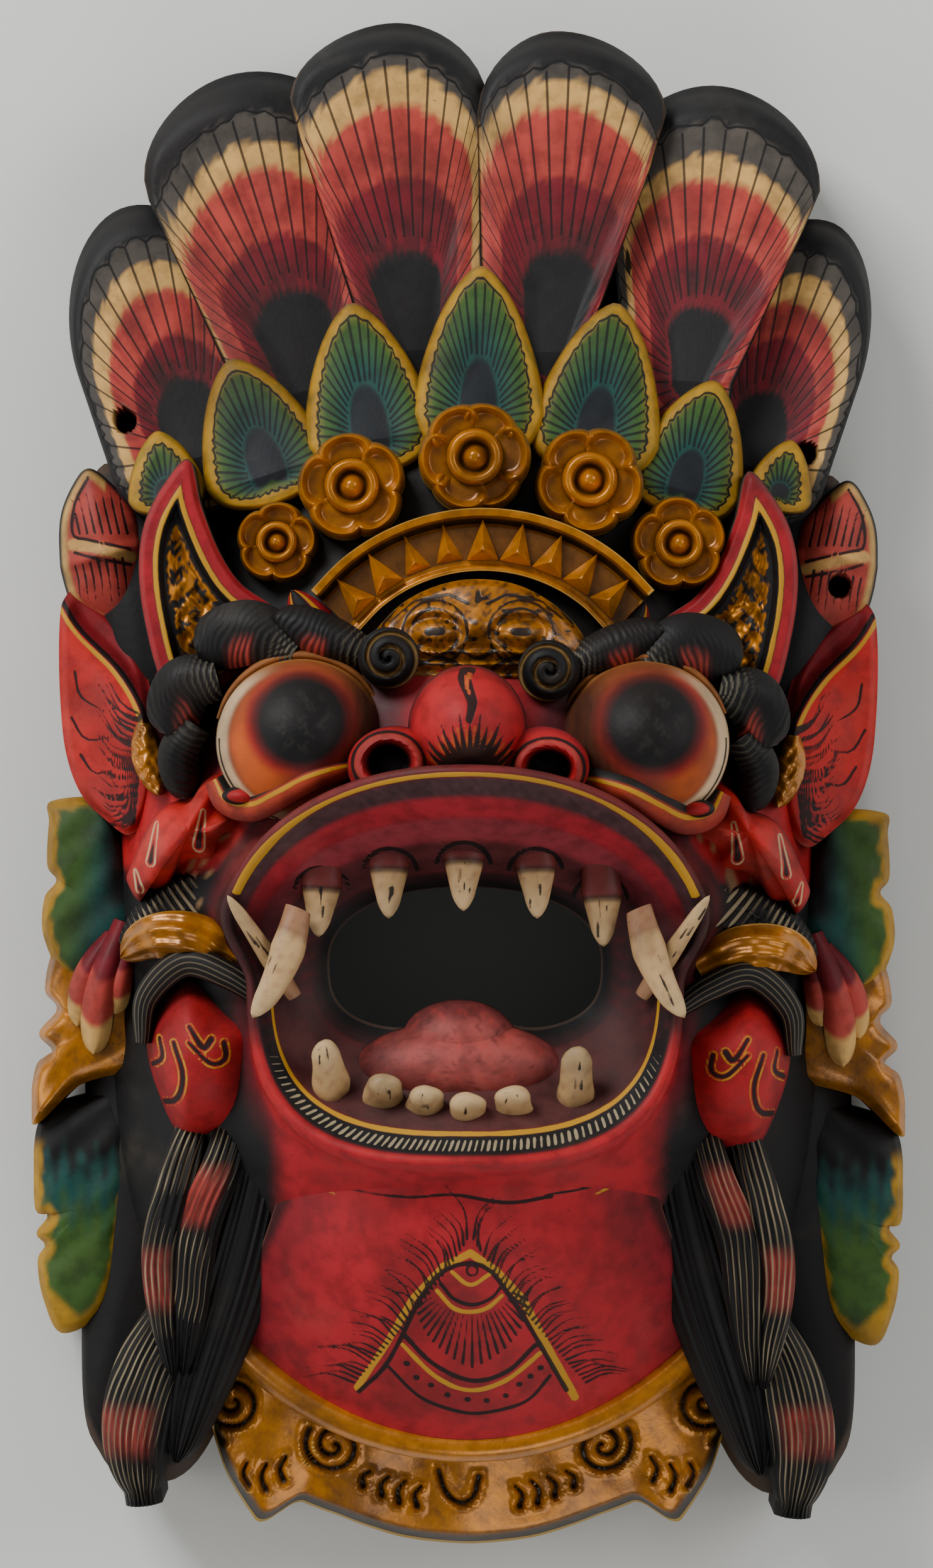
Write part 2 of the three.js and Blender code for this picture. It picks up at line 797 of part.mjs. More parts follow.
function maskSolid() {
  const carving = joined([
    headBlock(),
    slab({ ...crownBack, edge: 22, top: 30, floor: featherEdge.floor, levels: [1] }),
    ...crownFeathers.map(crownFeather),
    ...crownLeaves.map(crownLeaf),
    ...flowers.map(flower),
    diademBand(),
    crestFace(),
    ...sides.map(([, s]) => hornWing(s)),
    ...sides.map(([, s]) => earParts(s)),
    ...sides.map(([, s]) => brow(s)),
    ...sides.map(([, s]) => cheeks(s)),
    ...sides.map(([, s]) => ellipsoid([s * eye.x, eye.y, eye.z], eye.radii, 13, 7)),
    ellipsoid(nose.centre, nose.radii, 12, 8),
    ...sides.map(([, s]) => nostrilWing(s)),
    throatAndCollar(),
    ...sides.map(([, s]) => sideParts(s)),
    ...tongue.map(({ centre, radii }) => ellipsoid(centre, radii, 12, 6)),
  ]);
  const cuts = [
    hollowSpace(),
    ...sides.map(([, s]) => nostrilHole(s)),
    ...cordHoles.map(cordHole),
    ...teeth.map((tooth) => toothSolid(tooth, toothClearance)),
  ];
  return carving.subtract(joined(cuts)).simplify(meshTolerance);
}

function geometryOf(solid) {
  const mesh = solid.getMesh();
  const geometry = new THREE.BufferGeometry();
  geometry.setAttribute("position", new THREE.BufferAttribute(new Float32Array(mesh.vertProperties), 3));
  geometry.setIndex(new THREE.BufferAttribute(new Uint32Array(mesh.triVerts), 1));
  return geometry;
}

const paintedWood = new THREE.MeshStandardMaterial({ color: 0x9c2a26, roughness: 0.55, metalness: 0 });
const toothPaint = new THREE.MeshStandardMaterial({ color: 0xd9bd85, roughness: 0.6, metalness: 0 });

const barongMask = new THREE.Group();

function addPiece(name, solid, material) {
  const mesh = new THREE.Mesh(geometryOf(solid), material);
  mesh.name = name;
  barongMask.add(mesh);
}

addPiece("mask", maskSolid(), paintedWood);
teeth.forEach((tooth) => addPiece(tooth.name, toothSolid(tooth), toothPaint));

export default barongMask;
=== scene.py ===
# Carved and painted wooden guardian mask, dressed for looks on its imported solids.
# Shapes are laid out in millimetres in the frame of the CAD part and written to meshes in metres.
import math

import bmesh
import bpy
import numpy as np
from mathutils.bvhtree import BVHTree
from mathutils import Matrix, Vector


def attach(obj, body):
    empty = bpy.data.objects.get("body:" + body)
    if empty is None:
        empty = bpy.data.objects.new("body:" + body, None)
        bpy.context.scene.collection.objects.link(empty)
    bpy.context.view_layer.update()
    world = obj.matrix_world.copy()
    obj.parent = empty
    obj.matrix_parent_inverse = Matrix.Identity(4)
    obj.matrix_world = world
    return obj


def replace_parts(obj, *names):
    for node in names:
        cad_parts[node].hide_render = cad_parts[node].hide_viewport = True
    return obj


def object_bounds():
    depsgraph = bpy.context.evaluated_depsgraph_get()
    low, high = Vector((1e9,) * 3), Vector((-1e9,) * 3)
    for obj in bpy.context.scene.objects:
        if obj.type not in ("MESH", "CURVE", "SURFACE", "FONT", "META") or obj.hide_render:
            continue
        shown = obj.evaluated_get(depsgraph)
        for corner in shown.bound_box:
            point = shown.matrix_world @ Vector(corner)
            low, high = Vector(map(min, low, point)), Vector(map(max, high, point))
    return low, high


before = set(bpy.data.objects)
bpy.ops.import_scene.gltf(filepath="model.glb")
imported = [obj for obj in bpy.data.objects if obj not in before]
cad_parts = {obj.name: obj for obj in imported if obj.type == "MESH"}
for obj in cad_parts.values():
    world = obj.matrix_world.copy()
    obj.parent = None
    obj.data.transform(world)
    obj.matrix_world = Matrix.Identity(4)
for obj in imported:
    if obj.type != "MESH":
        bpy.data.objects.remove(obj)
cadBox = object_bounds()
print("frame loaded")

# The carving is drawn on a mask 500 mm tall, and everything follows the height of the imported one.
drawnHeight = 500.0
metre = (cadBox[1][1] - cadBox[0][1]) / drawnHeight
# Share that the meshes have of the counts of points given for each form.
fineness = 0.66
chance = np.random.default_rng(7)
tiny = 1e-9
# Brush lines are fields of distance to a line's edge, in millimetres. At noLine there is no line near, and
# a half width of noBarbs leaves the barbs out.
noLine = 9.0
noBarbs = -9.0


def srgb(red, green, blue):
    share = np.array([red, green, blue]) / 255.0
    return np.where(share <= 0.04045, share / 12.92, ((share + 0.055) / 1.055) ** 2.4)


paints = {
    "charcoal": srgb(25, 25, 26),
    "black": srgb(15, 13, 13),
    "bandGrey": srgb(84, 77, 70),
    "cream": srgb(226, 176, 100),
    "pinkRed": srgb(192, 70, 60),
    "crimson": srgb(122, 24, 36),
    "red": srgb(186, 28, 34),
    "brightRed": srgb(206, 36, 32),
    "throatRed": srgb(190, 34, 44),
    "mauveRed": srgb(160, 56, 66),
    "gum": srgb(98, 42, 44),
    "plum": srgb(98, 62, 66),
    "tongue": srgb(174, 80, 74),
    "mustard": srgb(206, 150, 30),
    "oldGold": srgb(208, 128, 4),
    "bronze": srgb(92, 62, 26),
    "leafGreen": srgb(62, 96, 36),
    "teal": srgb(24, 78, 72),
    "orange": srgb(206, 104, 40),
    "bareWood": srgb(120, 88, 60),
    "dust": srgb(150, 132, 110),
}


# Number helpers on arrays.
def lerp(a, b, t):
    return a + (b - a) * t


def ease(start, end, value):
    t = np.clip((value - start) / (end - start), 0.0, 1.0)
    return t * t * (3.0 - 2.0 * t)


def blend(under, over, share):
    return under + (over - under) * np.asarray(share)[..., None]


def smoothLine(points, count, closed=False):
    # A smooth curve through the points, as points evenly spaced along it.
    points = np.asarray(points, float)
    if closed:
        padded = np.vstack([points[-1], points, points[0], points[1]])
    else:
        padded = np.vstack([2 * points[0] - points[1], points, 2 * points[-1] - points[-2]])
    fine = []
    spans = len(padded) - 3
    for i in range(spans):
        p0, p1, p2, p3 = padded[i:i + 4]
        t = np.linspace(0.0, 1.0, 24, endpoint=False)[:, None]
        fine.append(0.5 * (2 * p1 + (p2 - p0) * t + (2 * p0 - 5 * p1 + 4 * p2 - p3) * t ** 2
                           + (3 * p1 - p0 - 3 * p2 + p3) * t ** 3))
    fine.append(padded[-2][None])
    fine = np.vstack(fine)
    steps = np.concatenate([[0.0], np.cumsum(np.linalg.norm(np.diff(fine, axis=0), axis=1))])
    want = np.linspace(0.0, steps[-1], count, endpoint=not closed)
    return np.column_stack([np.interp(want, steps, fine[:, k]) for k in range(fine.shape[1])])


def strokeField(x, y, lines):
    # Distance in millimetres to the nearest edge of a set of tapered brush lines.
    field = np.full(x.shape, noLine)
    for points, startWidth, endWidth in lines:
        points = np.asarray(points, float)
        halves = np.linspace(startWidth, endWidth, len(points)) / 2.0
        for i in range(len(points) - 1):
            a, b = points[i][:2], points[i + 1][:2]
            reach = halves[i:i + 2].max() + 1.6
            near = np.nonzero((x > min(a[0], b[0]) - reach) & (x < max(a[0], b[0]) + reach)
                              & (y > min(a[1], b[1]) - reach) & (y < max(a[1], b[1]) + reach))[0]
            if near.size == 0:
                continue
            span = b - a
            length = max(span @ span, tiny)
            t = np.clip(((x[near] - a[0]) * span[0] + (y[near] - a[1]) * span[1]) / length, 0.0, 1.0)
            gap = np.hypot(x[near] - a[0] - span[0] * t, y[near] - a[1] - span[1] * t)
            field[near] = np.minimum(field[near], gap - lerp(halves[i], halves[i + 1], t))
    return field


def edgeGap(x, y, outline):
    # Distance in millimetres to a closed outline.
    best = np.full(x.shape, 1e9)
    for a, b in zip(outline, np.roll(outline, -1, axis=0)):
        span = b - a
        t = np.clip(((x - a[0]) * span[0] + (y - a[1]) * span[1]) / max(span @ span, tiny), 0.0, 1.0)
        best = np.minimum(best, (x - a[0] - span[0] * t) ** 2 + (y - a[1] - span[1] * t) ** 2)
    return np.sqrt(best)


def isInside(x, y, outline):
    inside = np.zeros(x.shape, bool)
    for a, b in zip(outline, np.roll(outline, -1, axis=0)):
        rise = b[1] - a[1]
        crosses = (a[1] > y) != (b[1] > y)
        inside ^= crosses & (x < a[0] + (b[0] - a[0]) * (y - a[1]) / (rise if rise else tiny))
    return inside


def waver(x, y, size, seed=0.0):
    # Soft pattern between -1 and 1 from a few crossing waves, about size millimetres across.
    k = 2.0 * math.pi / size
    return (np.sin(k * x + 1.3 * np.sin(0.7 * k * y + seed)) * 0.5
            + np.sin(k * 0.8 * y + 1.7 * np.sin(0.6 * k * x - seed)) * 0.5)


sideLift = {-1: 1.0, 1: -3.0}


def mirrored(points, side):
    # Points drawn for the viewer's right; the right side of the carving sits a little lower.
    points = np.array([list(p) for p in points], float)
    points[:, 0] *= side
    points[:, 1] += sideLift[side]
    return points


paintKeys = {"ink": noLine, "line": noLine, "pale": noLine, "contour": noLine, "gilt": 0.0,
             "barb": 0.5, "barbPitch": 20.0, "barbHalf": 0.0, "barbTone": 0.0}


# The hollow's ceiling, known once the head shell is made.
ceiling = None

# Settings of every mesh: degrees from which an edge is sharp, metres within which points are joined, the
# smallest face in square metres that is kept, and the rounds of smoothing that tell ridges from hollows.
sharpAngle = 50.0
joinWithin = 2e-6
smallestFace = 1e-13
cavityRounds = 3

# Rows in the upright wall of a pad or blade.
wallRows = 5


def clearOfHollow(points):
    # Undersides over the hollow back are lifted into the wood of the shell.
    highestUnderside, belowBack, intoWood = 100.0, -5.0, 6.0
    for i in np.nonzero(points[:, 2] < highestUnderside)[0]:
        hit = ceiling.ray_cast((points[i, 0], points[i, 1], belowBack), (0.0, 0.0, 1.0))[0]
        if hit is not None:
            points[i, 2] = max(points[i, 2], hit.z + intoWood)


class Carving:
    # Gathers closed forms, each a grid of points in millimetres, and makes one painted mesh of them.
    def __init__(self, name):
        self.name = name
        self.points, self.faces, self.layers, self.total = [], [], [], 0

    def add(self, grid, paint, ring=False):
        rows, cols = grid.shape[:2]
        index = np.arange(rows * cols).reshape(rows, cols) + self.total
        after = np.roll(index, -1, axis=1)
        if ring:
            upper, upperAfter = np.roll(index, -1, axis=0), np.roll(after, -1, axis=0)
        else:
            upper, upperAfter = index[1:], after[1:]
            index, after = index[:-1], after[:-1]
        self.faces.append(np.stack([index, after, upperAfter, upper], axis=-1).reshape(-1, 4))
        self.points.append(grid.reshape(-1, 3))
        self.layers.append(paint)
        self.total += rows * cols

    def build(self, material, slot="painted_wood", pattern=False):
        points = np.vstack(self.points)
        if ceiling and not pattern:
            clearOfHollow(points)
        points = points * metre
        faces = np.vstack(self.faces)
        mesh = bpy.data.meshes.new(self.name)
        mesh.from_pydata(points.tolist(), [], faces.tolist())
        colour = np.vstack([p.colour for p in self.layers])
        alpha = np.ones((len(colour), 1))
        layer = mesh.attributes.new("paint", "FLOAT_COLOR", "POINT")
        layer.data.foreach_set("color", np.hstack([colour, alpha]).astype(np.float32).ravel())
        for key in paintKeys:
            values = np.concatenate([getattr(p, key) for p in self.layers])
            mesh.attributes.new(key, "FLOAT", "POINT").data.foreach_set("value", values.astype(np.float32))
        made = bmesh.new()
        made.from_mesh(mesh)
        bmesh.ops.remove_doubles(made, verts=made.verts, dist=joinWithin)
        empty = [f for f in made.faces if f.calc_area() < smallestFace]
        bmesh.ops.delete(made, geom=empty, context="FACES_ONLY")
        bmesh.ops.recalc_face_normals(made, faces=made.faces)
        made.to_mesh(mesh)
        made.free()
        storeWear(mesh)
        mesh.polygons.foreach_set("use_smooth", np.ones(len(mesh.polygons), bool))
        mesh.set_sharp_from_angle(angle=math.radians(sharpAngle))
        mesh.materials.append(material)
        return placePiece(self.name, mesh)


def placePiece(name, mesh):
    piece = bpy.data.objects.new(name, mesh)
    bpy.context.scene.collection.objects.link(piece)
    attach(piece, "root")
    print(name, "made,", sum(len(p.vertices) - 2 for p in mesh.polygons), "triangles")
    return piece


def storeWear(mesh):
    # Positive in hollows, where dirt and painted shade go, and negative on ridges, where paint rubs off and
    # the gilding gets a painted highlight.
    count = len(mesh.vertices)
    here = np.empty(count * 3, np.float32)
    normal = np.empty(count * 3, np.float32)
    edges = np.empty(len(mesh.edges) * 2, np.int32)
    mesh.vertices.foreach_get("co", here)
    mesh.vertices.foreach_get("normal", normal)
    mesh.edges.foreach_get("vertices", edges)
    here, normal, edges = here.reshape(-1, 3) * 1000.0, normal.reshape(-1, 3), edges.reshape(-1, 2)
    degree = np.maximum(np.bincount(edges.ravel(), minlength=count), 1)[:, None]
    moved = here.astype(float)
    for _ in range(cavityRounds):
        total = np.column_stack([
            np.bincount(edges[:, 0], moved[edges[:, 1], k], count)
            + np.bincount(edges[:, 1], moved[edges[:, 0], k], count) for k in range(3)])
        moved = 0.5 * moved + 0.5 * total / degree
    depth = ((moved - here) * normal).sum(axis=1)
    # Upright walls and undersides get a dark brown that is partly a dark coat and partly painted shade, count
    # as hollows for dirt and painted shade, and have no rubbing, brush lines or bright gilding.
    steep = ease(0.22, 0.05, normal[:, 2])
    depth = np.where(steep > 0.1, np.maximum(depth, 0.4 * steep), depth)
    mesh.attributes.new("hollow", "FLOAT", "POINT").data.foreach_set("value", depth.astype(np.float32))
    colour = np.empty(count * 4, np.float32)
    mesh.attributes["paint"].data.foreach_get("color", colour)
    colour = colour.reshape(-1, 4)
    colour[:, :3] = blend(colour[:, :3], srgb(30, 22, 19), steep * 0.8)
    mesh.attributes["paint"].data.foreach_set("color", colour.ravel())
    for key, change in (("gilt", -1.0), ("barbHalf", noBarbs), ("ink", noLine), ("line", noLine),
                        ("pale", noLine)):
        values = np.empty(count, np.float32)
        mesh.attributes[key].data.foreach_get("value", values)
        values = np.clip(values + change * steep, 0.0 if key == "gilt" else -99.0, 99.0)
        mesh.attributes[key].data.foreach_set("value", values.astype(np.float32))


class Paint:
    # Colours and brush lines at every point of one form.
    def __init__(self, grid, colour):
        flat = grid.reshape(-1, 3)
        self.x, self.y, self.z = flat[:, 0], flat[:, 1], flat[:, 2]
        self.colour = np.tile(colour, (len(flat), 1)).astype(float)
        for key, start in paintKeys.items():
            setattr(self, key, np.full(len(flat), start))

    def cover(self, colour, share):
        self.colour = blend(self.colour, colour, np.ravel(share))

    def inkLines(self, lines, where=None):
        self.addField("ink", strokeField(self.x, self.y, lines), where)

    def yellowLines(self, lines, where=None):
        self.addField("line", strokeField(self.x, self.y, lines), where)

    def patch(self, outline, colour, soft, share):
        # Fills a closed outline, softly at its edge.
        gap = edgeGap(self.x, self.y, outline) * np.where(isInside(self.x, self.y, outline), -1.0, 1.0)
        self.cover(colour, ease(soft, -soft, gap) * share)

    def barbs(self, phase, pitch, half, tone=0.0):
        # Fine lines where the phase is a whole number, with their pitch and half width in millimetres.
        for key, value in (("barb", phase), ("barbPitch", pitch), ("barbHalf", half), ("barbTone", tone)):
            setattr(self, key, np.broadcast_to(value, self.x.shape))

    def addField(self, key, field, where=None):
        field = np.ravel(field)
        if where is not None:
            field = np.where(np.ravel(where), field, noLine)
        setattr(self, key, np.minimum(getattr(self, key), field))

    def gild(self, share):
        share = np.ravel(share)
        self.gilt = np.maximum(self.gilt, share)
        self.colour = blend(self.colour, paints["oldGold"], share)


def backRows(count):
    # The few rows that close a flat back, from just inside its edge to the middle.
    return np.linspace(count - 1, 0, 7).astype(int)[1:]


def carve(name, grid, paint, *finish):
    # A piece of a single form.
    carving = Carving(name)
    carving.add(grid, paint)
    return carving.build(*finish)


def withWall(top, floor):
    # The top's last ring goes down as a wall, and a few of its rings close the flat back.
    drop = np.linspace(0.0, 1.0, wallRows + 1)[1:, None]
    wall = np.dstack([np.repeat(top[-1:, :, :2], wallRows, 0), lerp(top[-1, :, 2][None], floor, drop)])
    back = top[backRows(len(top))].copy()
    back[..., 2] = floor
    return np.concatenate([top, wall, back])


def withUnderside(top, columns, floor, drop=1.0):
    # A sheet with its underside, closed at both ends. The underside takes the heights of the given columns,
    # lowered by the share drop of their way to the floor.
    under = top[:, columns].copy()
    under[..., 2] = lerp(under[..., 2], floor, drop)
    grid = np.concatenate([top, under], axis=1)
    first, last = (np.broadcast_to(row.mean(axis=0), row.shape)[None] for row in (grid[0], grid[-1]))
    return np.concatenate([first, grid, last])


# Forms. Those of pads, blades and strips also return the plain coordinates that the painting uses.
def padForm(outline, middle, height, floor, around, rings, closed=True):
    # A form over a closed outline: rings from its middle to its edge, then the wall and the flat back.
    edge = smoothLine(outline, int(around * fineness), closed=True) if closed else np.asarray(outline)
    middle = np.asarray(middle, float)
    shares = np.linspace(0.0, 1.0, int(rings * fineness)) ** 0.8
    flat = middle + (edge - middle) * shares[:, None, None]
    gap = edgeGap(flat[..., 0], flat[..., 1], edge)
    z = height(flat[..., 0], flat[..., 1], gap, shares[:, None] + 0.0 * gap)
    grid = withWall(np.dstack([flat, z]), floor)
    isTop, allGap = np.zeros(grid.shape[:2], bool), np.zeros(grid.shape[:2])
    isTop[:len(shares)] = True
    allGap[:len(shares)] = gap
    return grid, {"top": isTop.ravel(), "gap": allGap.ravel()}


def bladeForm(blade, height, floor, around, rings, pitch):
    # A feather or leaf: rays from its core to an outline given by a width on each side of its axis.
    core, tip = np.array(blade["core"], float), np.array(blade["tip"], float)
    length = np.linalg.norm(tip - core)
    along = (tip - core) / length
    across = np.array([along[1], -along[0]])
    shoulder, power = blade["shoulder"], blade["power"]
    s = np.linspace(-0.25, 1.0, 600)
    closing = (1.0 - np.clip((s - shoulder) / (1.0 - shoulder), 0.0, 1.0) ** power) ** (1.0 / power)
    opening = (1.0 - np.clip(-s / 0.25, 0.0, 1.0) ** 2) ** 0.5
    profiles = []
    for sign, (root, full) in ((-1, blade["left"]), (1, blade["right"])):
        width = lerp(root, full, np.clip(s / shoulder, 0.0, 1.0)) * closing * opening
        profiles.append(np.column_stack([sign * width, s * length]))
    loop = np.vstack([profiles[0], profiles[1][::-1]])
    angle = np.arctan2(loop[:, 0], loop[:, 1])
    reach = np.hypot(loop[:, 0], loop[:, 1])
    order = np.argsort(angle)
    fan = np.linspace(-math.pi, math.pi, int(around * fineness), endpoint=False)
    fan = fan - 0.35 * np.sin(fan)
    edge = np.interp(fan, angle[order], reach[order], period=2 * math.pi)
    # The bands follow a wider outline where a neighbour or a cut takes away the side.
    wide = np.where(loop[:, 0] < 0, *blade.get("widen", (1.0, 1.0)))
    virtual = np.column_stack([loop[:, 0] * wide, loop[:, 1]])
    bandAngle, bandReach = np.arctan2(virtual[:, 0], virtual[:, 1]), np.hypot(virtual[:, 0], virtual[:, 1])
    order = np.argsort(bandAngle)
    bandEdge = np.maximum(np.interp(fan, bandAngle[order], bandReach[order], period=2 * math.pi), edge)
    q = np.linspace(0.0, 1.0, int(rings * fineness))
    radius = q[:, None] * edge[None]
    side = radius * np.sin(fan)
    forward = radius * np.cos(fan)
    flat = core + side[..., None] * across + forward[..., None] * along
    steps = np.linalg.norm(np.diff(flat[-1], axis=0, append=flat[-1][:1]), axis=1) * 0.74
    arc = np.cumsum(steps)
    phase = (arc - np.interp(0.0, fan, arc)) / pitch + 0.5
    same = 0 * radius
    local = {"q": q[:, None] + same, "band": radius / bandEdge[None], "fan": fan[None] + same,
             "reach": edge[None] + same, "side": side, "forward": forward / length,
             "phase": phase[None] + same}
    grid = withWall(np.dstack([flat, height(local)]), floor)
    extra = grid.shape[0] - len(q)
    for key in local:
        local[key] = np.concatenate([local[key], np.repeat(local[key][-1:], extra, 0)])
    local["top"] = (np.arange(grid.shape[0])[:, None] < len(q)) & np.ones(grid.shape[:2], bool)
    return grid, {key: value.ravel() for key, value in local.items()}


def stripForm(crest, halfWidth, drop, floor, sections, around, relief=None):
    # A carved strip along a crest line: arched across, with upright sides and a flat underside.
    sections, around = int(sections * fineness), int(around * fineness)
    line = smoothLine(crest, sections)
    t = np.linspace(0.0, 1.0, sections)
    heading = np.gradient(line[:, :2], axis=0)
    heading /= np.linalg.norm(heading, axis=1)[:, None]
    left = np.column_stack([-heading[:, 1], heading[:, 0]])
    u = np.linspace(-1.0, 1.0, around)
    u = np.sign(u) * np.abs(u) ** 0.8
    width = halfWidth(t)[:, None]
    lift = relief(u[None], t[:, None]) if relief else 0.0
    top = np.empty((sections, around, 3))
    top[..., :2] = line[:, None, :2] + (left[:, None] * (width * u)[..., None])
    top[..., 2] = line[:, None, 2] - drop * np.abs(u) ** 2.4 + lift
    # The outer two columns let the walls have a colour of their own from just below the top.
    columns = [-1, -1, around // 2, 0, 0]
    grid = withUnderside(top, columns, floor, np.array([0.15, 1.0, 1.0, 1.0, 0.15]))
    uAll = np.concatenate([u, u[columns]])[None] + np.zeros((sections + 2, 1))
    tAll = np.concatenate([[0.0], t, [1.0]])[:, None] + np.zeros((1, around + len(columns)))
    isTop = np.zeros(grid.shape[:2], bool)
    isTop[:, :around] = True
    return grid, {"u": uAll.ravel(), "t": tAll.ravel(), "top": isTop.ravel()}


def domeForm(centre, radii, around, rings, low):
    # Upper part of an ellipsoid, closed below; low is the height share at which it ends.
    polar = np.linspace(0.5 * math.pi, math.asin(low), int(rings * fineness))
    fan = np.linspace(0.0, 2 * math.pi, int(around * fineness), endpoint=False)
    x = centre[0] + radii[0] * np.cos(polar)[:, None] * np.cos(fan)
    y = centre[1] + radii[1] * np.cos(polar)[:, None] * np.sin(fan)
    z = centre[2] + radii[2] * np.sin(polar)[:, None] + 0 * fan
    grid = np.dstack([x, y, z])
    end = grid[-1:].copy()
    end[..., 0], end[..., 1] = centre[0], centre[1]
    return np.concatenate([grid, end])


def leafWidth(half, root, shoulder, roundness, tip=0.3):
    def width(t):
        opened = lerp(root, 1.0, np.sin(np.clip(t / shoulder, 0.0, 1.0) * math.pi / 2))
        far = np.clip((t - shoulder) / (1.0 - shoulder), 0.0, 1.0)
        return np.maximum(half * opened * (1.0 - far ** roundness) ** (1.0 / roundness), tip)
    return width


# Shader maths on sockets: operators build Math nodes, and the node method makes any other one.
class Wire:
    def __init__(self, tree, socket=None):
        self.tree, self.socket = tree, socket

    def node(self, kind, settings=None, inputs=(), output=0):
        # Settings go first, then each socket gets a link from a wire or a plain value.
        made = self.tree.nodes.new(kind)
        for key, value in (settings or {}).items():
            setattr(made, key, value)
        for key, value in inputs.items() if isinstance(inputs, dict) else enumerate(inputs):
            if isinstance(value, Wire):
                self.tree.links.new(value.socket, made.inputs[key])
            elif value is not None:
                made.inputs[key].default_value = value
        return Wire(self.tree, made.outputs[output]) if len(made.outputs) else None

    def math(self, operation, *others):
        return self.node("ShaderNodeMath", {"operation": operation}, (self, *others))

    def __add__(self, other):
        return self.math("ADD", other)

    def __radd__(self, other):
        return self.math("ADD", other)

    def __sub__(self, other):
        return self.math("SUBTRACT", other)

    def __rsub__(self, other):
        return self.node("ShaderNodeMath", {"operation": "SUBTRACT"}, (other, self))

    def __mul__(self, other):
        return self.math("MULTIPLY", other)

    def __rmul__(self, other):
        return self.math("MULTIPLY", other)

    def within(self, start, end):
        # 0 up to start, 1 from end on, soft between; the other way round if end is below start.
        settings = {"interpolation_type": "SMOOTHSTEP", "clamp": True}
        if start <= end:
            return self.node("ShaderNodeMapRange", settings, (self, start, end, 0.0, 1.0))
        return self.node("ShaderNodeMapRange", settings, (self, end, start, 1.0, 0.0))

    def mix(self, under, over):
        # One colour over another, with this wire as the share of the upper one.
        colours = [value if isinstance(value, Wire) else colourOf(value) for value in (under, over)]
        sockets = {0: self, 6: colours[0], 7: colours[1]}
        return self.node("ShaderNodeMix", {"data_type": "RGBA"}, sockets, 2)

    def noise(self, scale, detail, roughness=0.55):
        return self.node("ShaderNodeTexNoise", {}, {"Vector": self, "Scale": scale, "Detail": detail,
                                                    "Roughness": roughness})

    def attribute(self, key, output="Fac"):
        return self.node("ShaderNodeAttribute", {"attribute_name": key}, (), output)


def colourOf(value):
    return (*[float(v) for v in value], 1.0)


def newMaterial(name):
    # Returns the material and a wire with the coordinates that its noises use.
    material = bpy.data.materials.new(name)
    material.use_nodes = True
    material.node_tree.nodes.clear()
    return material, Wire(material.node_tree).node("ShaderNodeTexCoord", {}, (), "Object")


def finishMaterial(where, settings):
    shader = where.node("ShaderNodeBsdfPrincipled", {}, settings)
    where.node("ShaderNodeOutputMaterial", {}, (shader,))


def carvedPaint(name, look):
    # Aged distemper and gilding over carved wood, steered by the attributes on the mesh.
    material, where = newMaterial(name)
    patches = where.noise(28.0, 4.0)
    mottle = where.noise(140.0, 4.0, 0.6)
    grain = where.noise(900.0, 3.0, 0.6)
    specks = where.noise(420.0, 2.0, 0.7)
    colour = where.attribute("paint", "Color")
    gilt = where.attribute("gilt")
    hollow = where.attribute("hollow")
    # Barbs: black lines at every whole number of the phase.
    phase = where.attribute("barb")
    turn = phase.math("FRACT")
    barbGap = turn.math("MINIMUM", 1.0 - turn) * where.attribute("barbPitch")
    barb = (barbGap - where.attribute("barbHalf") + (grain - 0.5) * 0.12).within(0.14, -0.14)
    barbTone = where.attribute("barbTone")
    contourEdge = where.attribute("contour").math("ABSOLUTE") - look["contour"]
    inkEdge = where.attribute("ink").math("MINIMUM", contourEdge) + (mottle - 0.5) * 0.5
    ink = inkEdge.within(0.16, -0.16)
    line = (where.attribute("line") + (mottle - 0.5) * 0.7).within(0.2, -0.2)
    pale = (where.attribute("pale") + (mottle - 0.5) * 0.4).within(0.16, -0.16)
    # Faded and brushed unevenness.
    colour = (patches.within(0.55, 0.8) * look["fade"]).mix(colour, paints["dust"])
    colour = (mottle.within(0.62, 0.3) * look["mottle"]).mix(colour, (0.0, 0.0, 0.0))
    colour = (patches.within(0.52, 0.30) * look["grime"]).mix(colour, srgb(36, 26, 22))
    barbColour = barbTone.mix(paints["black"], srgb(176, 158, 124))
    colour = (barb * look["barb"]).mix(colour, barbColour)
    colour = (line * look["line"]).mix(colour, paints["mustard"])
    colour = (pale * 0.9).mix(colour, srgb(214, 186, 140))
    colour = (ink * look["ink"]).mix(colour, paints["black"])
    # Rubbed ridges show the ground coat and wood, and on the gilding a bright gold that is a painted
    # highlight; hollows keep dirt and soot, which also stand in for painted shade.
    rubbedAndLit = (hollow * -1.0 + (mottle - 0.5) * 0.5).within(look["rubAndHighlightStart"], look["rubAndHighlightStart"] + 0.5)
    rubbedAndLit = rubbedAndLit * look["rubAndHighlight"]
    colour = rubbedAndLit.mix(colour, look["under"])
    dirtAndShade = (hollow + (patches - 0.5) * 0.6).within(0.12, 1.1) * look["dirtAndShade"]
    colour = dirtAndShade.mix(colour, srgb(24, 18, 14))
    flecks = specks.within(0.70, 0.76) * look["flecks"]
    colour = flecks.mix(colour, srgb(30, 22, 18))
    metal = gilt * (1.0 - dirtAndShade) * (1.0 - ink) * look["metal"]
    rough = (look["rough"] + (mottle - 0.5) * 0.25 + dirtAndShade * 0.25) - gilt * look["giltGloss"] + ink * 0.04
    height = (ink * -0.25 + line * 0.12 + grain * 0.10 + mottle * 0.30 + patches * 0.5)
    bumpy = where.node("ShaderNodeBump", {}, {"Strength": 0.5, "Distance": 0.0011, "Height": height})
    finishMaterial(where, {"Base Color": colour, "Roughness": rough, "Metallic": metal, "Normal": bumpy,
                          "Coat Weight": gilt * 0.3 + 0.02, "Coat Roughness": 0.4,
                          "Specular IOR Level": look["specular"]})
    return material


